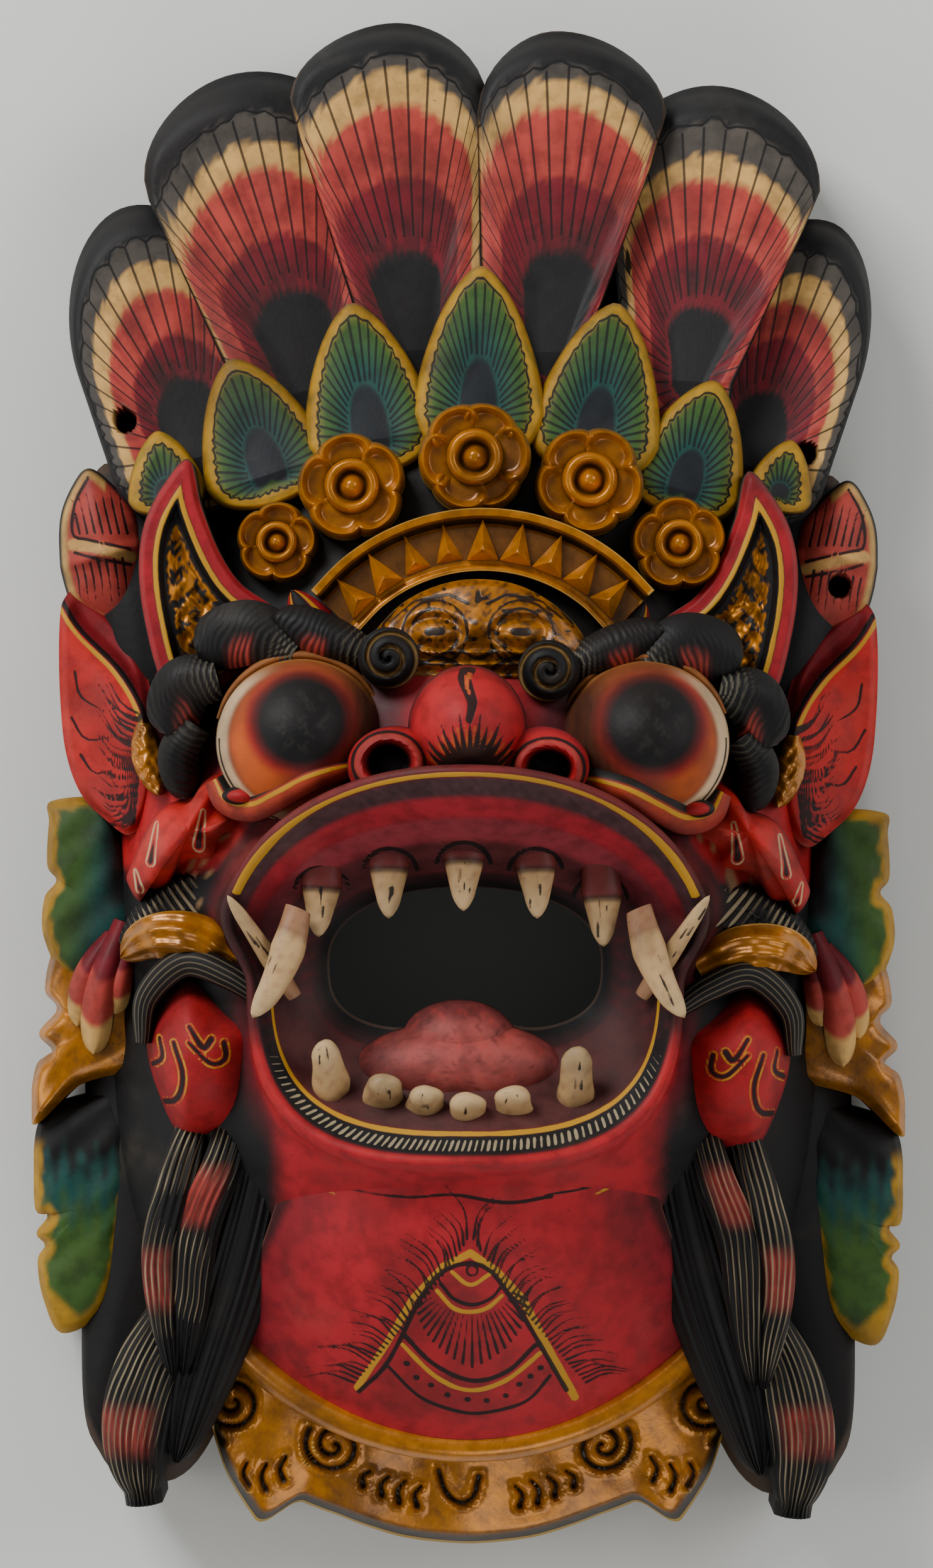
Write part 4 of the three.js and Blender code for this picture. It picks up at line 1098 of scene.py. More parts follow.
# Small gilded guardian face under the diadem.
def crestFace():
    outline = [(-31, 33), (-33, 40), (-29, 48), (-20, 57), (-8, 62.5), (4, 64), (16, 62), (27, 56), (35, 48),
               (38, 40), (36, 33), (20, 30), (3, 28), (-14, 30)]

    def height(x, y, gap, share):
        z = 100.0 + 5.0 * (1 - share ** 2)
        for side in (-1, 1):
            ex = 3 + side * 13.5
            d = np.hypot((x - ex) / 8.5, (y - 47) / 5.0)
            z = z + 4.5 * np.exp(-(d / 0.75) ** 4) + 1.8 * np.exp(-((d - 1.25) / 0.22) ** 2)
            z = z + 2.6 * np.exp(-((y - 55 + 0.03 * (x - ex) ** 2) / 1.8) ** 2 - ((x - ex) / 10) ** 4)
            z = z + 2.0 * np.exp(-(np.hypot(x - 3 - side * 27, y - 43) / 4.0) ** 2)
        z = z + 6.0 * np.exp(-((x - 3) / 4.6) ** 2 - ((y - 50) / 6.0) ** 2)
        z = z + 1.5 * np.cos(y * 1.7) * np.exp(-((x - 3) / 16) ** 4 - ((y - 37) / 5) ** 4)
        return z - 3.0 * ease(2.2, 0.0, gap)

    grid, local = padForm(outline, (3, 44), height, 68.0, 190, 64)
    x, y = grid[..., 0], grid[..., 1]
    smoke = ease(0.1, 0.9, waver(x, y, 5.0, 6.0) + 0.8 * waver(x, y, 2.2, 8.0))
    paint = goldPaint(grid, 0.8, smoke * 0.75)
    for side in (-1, 1):
        ex = 3 + side * 13.5
        browLine = [(3 + side * 3, 56), (3 + side * 9, 59), (3 + side * 20, 57), (3 + side * 27, 51)]
        paint.inkLines([(arcLine((ex, 47), 10.2, 0, 360, 0.0, 20), 0.9, 0.9),
                        ([(ex - 2, 47), (ex + 2, 47)], 2.6, 2.6), (browLine, 1.2, 0.6)])
    spots = [([(x, y), (x + 0.4, y)], w, w) for x, y, w in zip(
        chance.uniform(-28, 34, 90), chance.uniform(31, 61, 90), chance.uniform(0.5, 1.6, 90))]
    for side in (-1, 1):
        ex = 3 + side * 13.5
        for start, end in ((20, 160), (200, 340)):
            paint.inkLines([(arcLine((ex, 47), 7.4, start, end, 0.0, 12), 0.5, 1.3)])
        jaw = [(3 + side * 5, 36), (3 + side * 12, 39), (3 + side * 22, 36), (3 + side * 30, 40)]
        temple = [(3 + side * 26, 55), (3 + side * 30, 49), (3 + side * 25, 46)]
        paint.inkLines([(smoothLine(jaw, 14), 1.6, 0.5), (smoothLine(temple, 10), 1.5, 0.5)])
    paint.inkLines([(smoothLine([(-2, 41), (3, 39), (8, 41)], 8), 1.2, 1.2), ([(3, 57), (3, 62)], 2.0, 0.6)])
    paint.inkLines(spots)
    carve("crestFace", grid, paint, gilded)


crestFace()


# Horn-shaped wings with nested bands, and a small red peak beside each.
hornOutline = [(89, 102), (97, 94), (103, 82), (105, 68), (103, 50), (97, 30), (86, 24), (70, 34), (58, 46),
               (61, 54), (72, 62), (79, 72), (85, 87)]
hornPeak = [(42, 38, 88), (50, 50, 91), (56, 60, 89)]


def hornWing(word, side):
    def height(x, y, gap, share):
        z = 84.0 - 5.0 * ease(5.0, 13.0, gap) - 3.0 * ease(2.0, 0.0, gap)
        z = z + 1.0 * np.exp(-((gap - 6.4) / 1.2) ** 2) - 1.0 * np.exp(-((gap - 8.2) / 0.9) ** 2)
        return z + 0.9 * waver(x, y, 6.0, 2.0) * ease(10.0, 11.5, gap)

    grid, local = padForm(mirrored(hornOutline, side), (92 * side, 56), height, 25.0, 230, 64)
    paint = Paint(grid, paints["black"])
    gap = np.where(local["top"], local["gap"], 0.0)
    paint.cover(paints["throatRed"] * 0.85, ease(4.9, 4.4, gap))
    paint.cover(paints["crimson"], ease(4.9, 4.4, gap) * ease(-1, 1, waver(paint.x, paint.y, 26.0)) * 0.35)
    paint.cover(paints["charcoal"], ease(0.3, 0.0, gap))
    paint.addField("line", np.abs(gap - 5.6) - 0.8)
    inner = ease(9.0, 9.8, gap + 0.5 * waver(paint.x, paint.y, 3.0, 3.0))
    patch = ease(-0.45, 0.0, waver(paint.x, paint.y, 7.0, 5.0) + 0.7 * waver(paint.x, paint.y, 2.6, 1.0))
    paint.gild(inner * patch)
    beads = []
    for i in range(7):
        x, y = lerp(66, 84, i / 6), lerp(48, 50, i / 6)
        beads.append((mirrored([(x, y - 1.6), (x, y + 1.6)], side), 1.6, 1.6))
    paint.inkLines(beads)
    carving = Carving(word + "HornWing")
    carving.add(grid, paint)
    crest = mirrored(hornPeak, side)
    grid, local = stripForm(crest, leafWidth(8, 0.8, 0.3, 1.6), 3.0, 55.0, 60, 34)
    paint = Paint(grid, paints["throatRed"] * 0.85)
    edge = (1 - np.abs(local["u"])) * 7.0
    paint.addField("line", np.abs(edge - 2.9) - 0.7, local["top"])
    paint.cover(paints["black"], ease(3.6, 4.2, edge))
    carving.add(grid, paint)
    carving.build(painted)


# Folded tuft above each ear, the pointed ear and its gilded stud.
tuftOutline = [(124, 102), (130, 96), (134, 84), (133, 66), (127, 54), (112, 50), (106, 62), (107, 84),
               (114, 94)]


def earParts(word, side):
    carving = Carving(word + "Ear")
    outline = mirrored(tuftOutline, side)

    def tuftHeight(x, y, gap, share):
        z = lerp(50.0, 40.0, share ** 2)
        fold = np.exp(-((y - 74 + 0.25 * (x * side - 119)) / 2.4) ** 2)
        return z + 2.2 * fold - 2.0 * ease(2.5, 0.0, gap)

    tuftFloor = 10.0
    grid, local = padForm(outline, (119 * side, 76), tuftHeight, tuftFloor, 170, 44)
    cordPits(grid, tuftFloor)
    paint = Paint(grid, paints["pinkRed"] * 0.9)
    gap = local["gap"]
    paint.cover(paints["cream"] * 0.85, ease(4.2, 2.2, gap) * (paint.x * side > 119))
    paint.cover(paints["charcoal"], ease(1.6, 0.4, gap))
    strokes = []
    for i in range(7):
        x = 111.0 + 2.6 * i
        strokes.append((mirrored([(x, 80), (x + 2.0, 88), (x + 3.5, 95 - 0.4 * i)], side), 0.9, 0.3))
        strokes.append((mirrored([(x, 58), (x + 0.5, 65), (x + 1.5, 72 - 0.4 * i)], side), 0.3, 0.9))
    for seam in ([(124, 99), (128.5, 90), (129, 80), (124, 78), (110, 75)],
                 [(128.5, 74), (122, 72), (110, 70)]):
        strokes.append((smoothLine(mirrored(seam, side), 24), 1.0, 1.0))
    paint.inkLines(strokes, local["top"])
    paint.cover(paints["cream"], ease(0.3, -0.6, strokeField(paint.x, paint.y, [
        (mirrored([(129, 76.5), (122, 75.5), (110, 72.5)], side), 4.2, 3.6)])) * 0.9)
    pitShade(paint)
    carving.add(grid, paint)
    outline = mirrored([(132, 59), (128, 61), (115, 52), (107, 40), (103, 27), (102, 12), (101, 0),
                        (104, -12), (110, -18), (118, -13), (126, -5), (131, 8), (133, 25), (133.6, 48)],
                       side)

    def earHeight(x, y, gap, share):
        fold = seamGap(x, y)
        z = 46.0 + 12.0 * np.exp(-((x * side - 104) / 16) ** 2) * ease(50, 10, y) + 3.0 * ease(60, 30, y)
        return z + 2.6 * np.exp(-(fold / 2.6) ** 2) - 2.4 * ease(-0.5, -5.0, fold) - 3.0 * ease(3.0, 0.0, gap)

    foldLine = smoothLine(mirrored([(133, 57), (126.5, 47.5), (114.5, 35.5), (106.5, 23), (103, 10)], side),
                          60)

    def seamGap(x, y):
        shape = np.shape(x)
        x, y = np.ravel(x), np.ravel(y)
        gap = np.full(x.shape, 99.0)
        sign = np.ones(x.shape)
        for a, b in zip(foldLine[:-1], foldLine[1:]):
            span = b - a
            t = np.clip(((x - a[0]) * span[0] + (y - a[1]) * span[1]) / (span @ span), 0, 1)
            d = np.hypot(x - a[0] - span[0] * t, y - a[1] - span[1] * t)
            turn = (span[0] * (y - a[1]) - span[1] * (x - a[0])) * side
            closer = d < gap
            gap, sign = np.where(closer, d, gap), np.where(closer, np.sign(turn), sign)
        return (gap * sign).reshape(shape)

    grid, local = padForm(outline, (119 * side, 22), earHeight, 14.0, 220, 60)
    paint = Paint(grid, paints["brightRed"])
    fold = seamGap(paint.x, paint.y)
    inside = ease(0.5, -0.5, fold)
    paint.cover(paints["crimson"], inside * 0.8)
    paint.cover(paints["pinkRed"], ease(8, 22, fold) * ease(1, -1, waver(paint.x, paint.y, 30.0)) * 0.35)
    paint.cover(paints["crimson"], ease(10.0, -8.0, paint.y) * 0.35)
    paint.addField("line", np.abs(fold - 0.9) - 0.75, local["top"] & (paint.y > 16))
    paint.addField("ink", np.abs(fold + 1.0) - 0.8, local["top"] & (paint.y > 12))
    hairs = []
    for i in range(30):
        share = i / 29
        foot = np.array([lerp(104, 108, share), lerp(20, -14, share)])
        tip = foot + np.array([lerp(10, 17, chance.random()), lerp(14, -1, share) + chance.normal(0, 1.5)])
        bend = (foot + tip) / 2 + np.array([1.5, -2.5])
        hairs.append((smoothLine(mirrored([foot, bend, tip], side), 7), 1.0, 0.15))
    for foot, bend, tip in (((118, 22), (126, 27), (128, 35)), ((114, 14), (124, 13), (129, 20)),
                            ((112, 4), (121, 2), (126, 8))):
        hairs.append((smoothLine(mirrored([foot, bend, tip], side), 9), 0.4, 1.0))
    paint.inkLines(hairs, local["top"])
    carving.add(grid, paint)
    carving.build(painted)
    grid, local = stripForm(mirrored([(104.5, 18, 72), (103.5, 8, 75), (99, -5, 76)], side),
                            leafWidth(4.6, 0.5, 0.5, 2), 4.0, 40.0, 60, 40)
    grid[..., 2] += 0.8 * waver(grid[..., 0], grid[..., 1], 4.0) * (grid[..., 2] > 60)
    carve(word + "EarStud", grid, goldPaint(grid, 0.25), gilded)


# Brow of four overlapping tufts that rounds the eye, from a curl beside the nose.
browTufts = [
    ([(86, 17, 96), (92, 8, 93), (89.5, -6, 86)], 6.5),
    ([(79, 32, 99), (90, 29, 98), (95, 14, 92)], 9.5),
    ([(55, 39, 103), (69, 46, 104), (86, 41, 98)], 10.5),
    ([(32, 39, 104), (46, 45, 106), (61, 51, 103)], 7.5),
]


def browParts(word, side):
    carving = Carving(word + "Brow")
    for i, (crest, half) in enumerate(browTufts):
        line = mirrored(crest, side)
        back = line[0, :2] - line[1, :2]
        focus = line[0, :2] + back / np.linalg.norm(back) * 6.0
        grid, local = stripForm(line, leafWidth(half, 0.72, 0.5, 2.6, half * 0.35), 5.5, 60.0, 90, 64)
        away = np.hypot(grid[..., 0] - focus[0], grid[..., 1] - focus[1])
        away = away + 0.8 * waver(grid[..., 0], grid[..., 1], 13.0, i)
        rings = np.cos(away * 3.2)
        grid[..., 2] += 0.2 * rings * (grid[..., 2] > 61)
        paint = Paint(grid, paints["black"])
        away, rings = away.ravel(), rings.ravel()
        pale = ease(0.45, 0.9, rings) * ease(22.0, 9, away)
        tone = blend(np.tile(srgb(150, 142, 118), (len(away), 1)), srgb(70, 64, 58), ease(8, 19, away))
        paint.cover(tone, pale * (0.2 if i == 0 else 0.55))
        pink = ease(17.5, 20, away) * ease(28, 24, away) * ease(-0.1, 0.5, -local["u"] * side)
        if i > 0:
            paint.cover(paints["pinkRed"] * 0.9, pink * (0.55 + 0.45 * rings))
        carving.add(grid, paint)
    centre = mirrored([(25, 38)], side)[0]
    grid = domeForm((*centre, 0), (9.6, 9.6, 1), around=80, rings=44, low=0.0)
    dx, dy = (grid[..., 0] - centre[0]) * side, grid[..., 1] - centre[1]
    rho, turn = np.hypot(dx, dy) / 9.6, np.arctan2(dy, dx)
    spiral = np.mod(rho * 2.2 - turn / (2 * math.pi), 1.0)
    grid[..., 2] = 112.0 - 5.0 * rho ** 3 - 2.2 * np.exp(-((spiral - 0.5) / 0.16) ** 2) * ease(1.0, 0.8, rho)
    grid[-2:, :, 2] = 70.0
    paint = Paint(grid, paints["black"])
    paint.cover(paints["cream"], np.exp(-((spiral - 0.5) / 0.10) ** 2).ravel() * 0.42 * (rho.ravel() > 0.3))
    carving.add(grid, paint)
    carving.build(painted)


# Bulging lacquered eyes with their lids.
eyes = {-1: dict(centre=(-52.6, 13.0), pupil=(-51.6, 19.0), pupilRadius=13.2),
        1: dict(centre=(55.3, 12.4), pupil=(56.8, 18.0), pupilRadius=13.4)}


def eyeParts(word, side):
    look = eyes[side]
    cx, cy = look["centre"]
    grid = domeForm((cx, cy, 94), (27.0, 26.5, 35), around=150, rings=90, low=-0.5)
    paint = Paint(grid, srgb(112, 58, 34))
    px, py = look["pupil"]
    dx, dy = (paint.x - cx) * side, paint.y - cy
    away = np.hypot(paint.x - px, paint.y - py) - look["pupilRadius"]
    rim = np.hypot(dx, dy) / 26.6
    turn = np.degrees(np.arctan2(dy, dx))
    outer = ease(80, 30, turn) * ease(-95, -45, turn)
    streaks = 0.5 + 0.5 * waver(paint.x * 3.0, paint.y * 0.6, 9.0, 4.0)
    # The side towards the nose goes dark brown, streaked, as a painted shadow of the nose and socket, and the
    # upper band orange-brown as a painted shadow of the brow.
    inner = ease(95, 150, np.abs(turn))
    paint.cover(srgb(58, 34, 26), inner * (0.55 + 0.35 * streaks))
    paint.cover(srgb(150, 84, 42), ease(40, 85, turn) * ease(0.6, 0.85, rim) * (1 - inner) * 0.8)
    paint.cover(srgb(140, 46, 34), ease(-50, -90, turn) * (1 - inner) * 0.8)
    paint.cover(srgb(232, 196, 154), outer * ease(0.80, 0.88, rim))
    paint.cover(srgb(206, 92, 34), outer * ease(0.88, 0.76, rim))
    paint.cover(srgb(156, 36, 32), ease(6.5, 2.6, away) * (0.45 + 0.55 * outer))
    paint.cover(srgb(84, 22, 22), ease(3.6, 1.2, away) * 0.9)
    paint.cover(srgb(24, 22, 22), ease(1.6, -0.9, away))
    dusty = ease(0.1, 0.9, waver(paint.x, paint.y, 6.5, 2.0) + 0.7 * waver(paint.x, paint.y, 2.2, 4.0))
    paint.cover(srgb(60, 60, 54), dusty * ease(-1.0, -6.0, away) * 0.35)
    paint.addField("ink", np.abs((rim - 0.955) * 25.6) - 0.35, (turn < 5) & (turn > -75) & (rim < 1.03))
    paint.cover(srgb(170, 112, 56), ease(0.93, 0.97, rim) * ease(30, 70, turn) * ease(160, 130, turn))
    carve(word + "Eye", grid, paint, lacquer)
    lids = Carving(word + "EyeLids")
    upper = arcLine((cx, cy), 27.0, 20, 165, 0.0, 15)
    upper[:, 2] = 101.0 + 2.0 * np.sin(np.linspace(0, math.pi, 15))

    def lidWidth(t):
        return 1.1 * np.sin(math.pi * np.clip(t, 0.04, 0.96)) ** 0.5 + 0.3

    grid, local = stripForm(upper, lidWidth, 1.5, 80.0, 110, 20)
    lids.add(grid, Paint(grid, srgb(150, 92, 44)))
    lower = mirrored([(80, 0, 98), (76, -6.5, 103), (68, -8, 111), (60, -4.5, 121), (50, 0.5, 126.5),
                      (40, 3.5, 124), (32, 4.5, 117)], side)
    grid, local = stripForm(lower, leafWidth(5.4, 0.6, 0.35, 2.4, 1.2), 3.0, 76.0, 130, 40)
    paint = Paint(grid, srgb(178, 62, 34))
    u = local["u"] * -side
    paint.cover(paints["crimson"], ease(-0.2, -0.9, u) * 0.6)
    paint.addField("line", np.abs(u - 0.02) * 5.0 - 0.7, local["top"])
    paint.cover(srgb(28, 24, 22), ease(0.2, 0.34, u) * local["top"])
    lids.add(grid, paint)
    corner = mirrored([(71.0, -5.2)], side)[0]
    grid = domeForm((*corner, 105), (6.2, 3.0, 7), around=60, rings=30, low=-0.5)
    paint = Paint(grid, paints["red"])
    out = np.hypot((paint.x - corner[0]) / 6.2, (paint.y - corner[1]) / 3.0)
    paint.cover(paints["black"], ease(0.62, 0.74, out))
    lids.add(grid, paint)
    lids.build(painted)


# Round nose with its nostrils.
def noseParts():
    carving = Carving("nose")
    grid = domeForm((-0.3, 16.5, 116), (18.5, 20, 35), around=150, rings=90, low=-0.7)
    paint = Paint(grid, paints["red"] * 1.05)
    paint.inkLines([(smoothLine([(0.0, 35), (-1.2, 32), (0.0, 28), (1.2, 24), (0.2, 19)], 16), 4.6, 2.2)])
    glow = smoothLine([(0.2, 33), (-0.6, 30.5), (0.2, 27)], 8)
    paint.cover(paints["orange"], ease(0.3, -0.4, strokeField(paint.x, paint.y, [(glow, 1.8, 0.8)])))
    paint.ink = np.where(strokeField(paint.x, paint.y, [(glow, 1.4, 0.6)]) < 0, noLine, paint.ink)
    fan, flames = [], []
    root = np.array([0.5, 1.5])
    for i, a in enumerate(np.linspace(3, 177, 17)):
        way = wayAt(a)
        reach = 16.5 + 2.5 * (i % 2)
        points = [root + way * 3.0, root + way * reach * 0.6, root + way * reach * 0.9 + (0, 2.4)]
        fan.append((smoothLine(points, 9), 2.6, 0.35))
        way = wayAt(a + 5)
        flames.append((np.array([root + way * 7, root + way * 14 + (0, 1.5)]), 1.4, 0.2))
    paint.inkLines(fan)
    flame = strokeField(paint.x, paint.y, flames)
    paint.cover(paints["orange"], ease(0.3, -0.2, flame) * 0.8)
    paint.cover(paints["black"], ease(8, 3, np.hypot(paint.x - 0.5, paint.y - 1)) * 0.85)
    paint.cover(paints["crimson"] * 0.7, ease(15, 19, np.hypot(paint.x + 0.3, (paint.y - 16) * 0.92)) * 0.7)
    carving.add(grid, paint)
    for side in (-1, 1):
        hx, hy = 24.5 * side, 5.0 - side * 1.0
        grid = domeForm((22.5 * side, 5, 122), (15, 12.5, 19), around=110, rings=64, low=-0.8)
        gx, gy = grid[..., 0] - hx, grid[..., 1] - hy
        rho = np.hypot(gx * 0.86, gy)
        grid[..., 2] = grid[..., 2] - 13.0 * ease(7.2, 4.6, rho) + 1.6 * np.exp(-((rho - 8.2) / 1.4) ** 2)
        paint = Paint(grid, paints["red"])
        rho = rho.ravel()
        paint.cover(paints["pinkRed"], ease(7.4, 8.2, rho) * ease(9.6, 8.8, rho) * 0.8)
        paint.cover(paints["crimson"], ease(10.5, 13.0, rho) * 0.7)
        paint.cover(srgb(24, 10, 12), ease(6.6, 5.2, rho))
        paint.addField("ink", np.abs(rho - 9.6) - 0.5)
        carving.add(grid, paint)
    carving.build(painted)


noseParts()


# Cheeks: a lobed flame under each eye, a gilded roll, and the round lower cheek below black hair.
cheekFlame = [(76, 4), (84, 2), (89, -5), (96, -8), (101, -13), (108, -28), (109, -33), (105, -39),
              (102.5, -35), (97, -35), (92, -29), (87, -26.5), (81, -28), (77, -27), (75, -19), (64, -15),
              (60, -8), (70, -8)]
lowerCheek = [(61, -77), (76, -68), (91, -61), (101, -74), (103, -89), (95, -111), (87, -116), (74, -113),
              (65, -102)]
moustacheRoll = [(73, -57, 90), (86, -50, 95), (100, -50, 92), (111, -57, 78)]
cheekHair = [(66, -34), (78, -29), (92, -30), (106, -40), (112, -52), (104, -55), (88, -46), (74, -46),
             (64, -52)]
cheekArcs = [
    ([(-93, -83), (-90, -93), (-92, -101), (-98, -103)], 1.1, 1.9),
    ([(-88, -78), (-83.5, -84.5), (-81, -82)], 1.1, 1.8), ([(-88, -83), (-81, -89.5), (-76.5, -88),
                                                            (-77, -83)], 0.9, 1.5),
                                                            ([(-98, -82), (-97, -88), (-101, -91)], 0.9, 1.6)]


def leafMark(paint, side, top, bottom, width):
    # A painted slit: black heart with a cream-yellow line round it.
    line = [(mirrored([top, lerp(np.array(top), np.array(bottom), 0.55), bottom], side), width * 0.15, width)]
    gap = strokeField(paint.x, paint.y, line)
    paint.addField("pale", np.abs(gap - 0.4) - 0.3)
    paint.addField("ink", gap + 0.4)


def cheekParts(word, side):
    def flameHeight(x, y, gap, share):
        ripple = 1.2 * np.cos((x * side + 0.7 * y) * 0.55)
        return lerp(78.0, 100.0, 1 - share ** 1.8) - 2.0 * ease(2.5, 0, gap) + ripple

    def cheekHeight(x, y, gap, share):
        return lerp(70.0, 98.0, 1 - share ** 2.6) - 1.5 * ease(1.5, 0, gap)

    def combed(x, y):
        # How far across the run of the hair a point lies.
        return x * side * 0.8 - y * 0.6 + 0.012 * (x * side - 90) ** 2

    def hairHeight(x, y, gap, share):
        return 88.0 - 0.5 * (np.abs(x) - 80) - 2.5 * ease(2.5, 0, gap) + 0.5 * np.cos(combed(x, y) * 2.4)

    carving = Carving(word + "Cheek")
    grid, local = padForm(mirrored(cheekFlame, side), (88 * side, -16), flameHeight, 45.0, 220, 60)
    paint = Paint(grid, paints["brightRed"])
    paint.cover(paints["pinkRed"], ease(-0.2, 0.8, waver(paint.x, paint.y, 22.0, 2.0)) * 0.6)
    paint.cover(paints["crimson"], ease(1.4, 0.2, local["gap"]) * 0.6)
    for top, bottom, width in (((83.5, -10), (85.0, -21), 3.0), ((99, -14), (100.5, -26), 2.4),
                               ((106, -29), (104.5, -35), 1.7)):
        leafMark(paint, side, top, bottom, width)
    carving.add(grid, paint)
    grid, local = padForm(mirrored(lowerCheek, side), (86 * side, -88), cheekHeight, 45.0, 200, 56)
    paint = Paint(grid, paints["red"])
    paint.cover(paints["crimson"], ease(7.0, 0.5, local["gap"]) * 0.5)
    arcs = [(smoothLine(mirrored([(-x, y) for x, y in points], side), 12), start, end)
            for points, start, end in cheekArcs]
    paint.inkLines(arcs, local["top"])
    paint.addField("line", np.abs(strokeField(paint.x, paint.y, arcs) - 0.55) - 0.22, local["top"])
    carving.add(grid, paint)
    carving.build(painted)
    hair = Carving(word + "CheekHair")
    grid, local = padForm(mirrored(cheekHair, side), (88 * side, -40), hairHeight, 45.0, 220, 50)
    paint = Paint(grid, paints["black"])
    paint.barbs(combed(paint.x, paint.y) * 2.4 / (2 * math.pi), 2.62,
                np.where(local["top"], 0.55 * ease(1.5, 4.0, local["gap"]), noBarbs),
                ease(-0.6, 0.6, waver(paint.x, paint.y, 19.0, 1.0)) * 0.9)
    hair.add(grid, paint)
    arch = mirrored([(104, -84, 82), (102, -69, 88), (90, -58, 94), (76, -62, 97), (63, -71, 96)], side)
    grid, local = stripForm(arch, leafWidth(4.6, 0.5, 0.5, 2.5, 1.5), 3.0, 60.0, 110, 40)
    paint = Paint(grid, paints["black"])
    paint.barbs(local["u"] * 2.6, 1.9, np.where(local["top"], 0.22, noBarbs), 0.35)
    hair.add(grid, paint)
    hair.build(painted)
    grid, local = stripForm(mirrored(moustacheRoll, side), leafWidth(7.5, 0.7, 0.4, 2), 5.0, 45.0, 90, 44,
                            lambda u, t: 0.8 * np.cos(u * 9 + 5 * t) + 0.5 * np.cos(t * 31.0))
    carve(word + "MoustacheRoll", grid, goldPaint(grid, 0.2), gilded)


for word, side in (("left", -1), ("right", 1)):
    hornWing(word, side)
    earParts(word, side)
    browParts(word, side)
    eyeParts(word, side)
    cheekParts(word, side)


# Tongue in the lower jaw.
def tongueParts():
    carving = Carving("tongue")
    for centre, radii in (((-3, -90, 93), (33.0, 15.0, 18)), ((-3, -81, 93), (18, 12.5, 15))):
        grid = domeForm(centre, radii, around=110, rings=50, low=-0.6)
        paint = Paint(grid, paints["tongue"])
        paint.cover(paints["gum"], ease(0.6, 1.0, np.hypot((paint.x + 1) / 31, (paint.y + 88) / 17)) * 0.7)
        paint.cover(paints["gum"] * 0.8, np.exp(-((paint.x + 1) / 1.4) ** 2) * 0.3)
        rough = waver(paint.x, paint.y, 8.0, 2.0) + 0.8 * waver(paint.x, paint.y, 2.6, 5.0)
        paint.cover(srgb(92, 36, 36), ease(0.3, 1.5, rough) * 0.55)
        paint.cover(paints["pinkRed"], ease(0.3, 1.4, -rough) * 0.5)
        carving.add(grid, paint)
    carving.build(painted)


tongueParts()


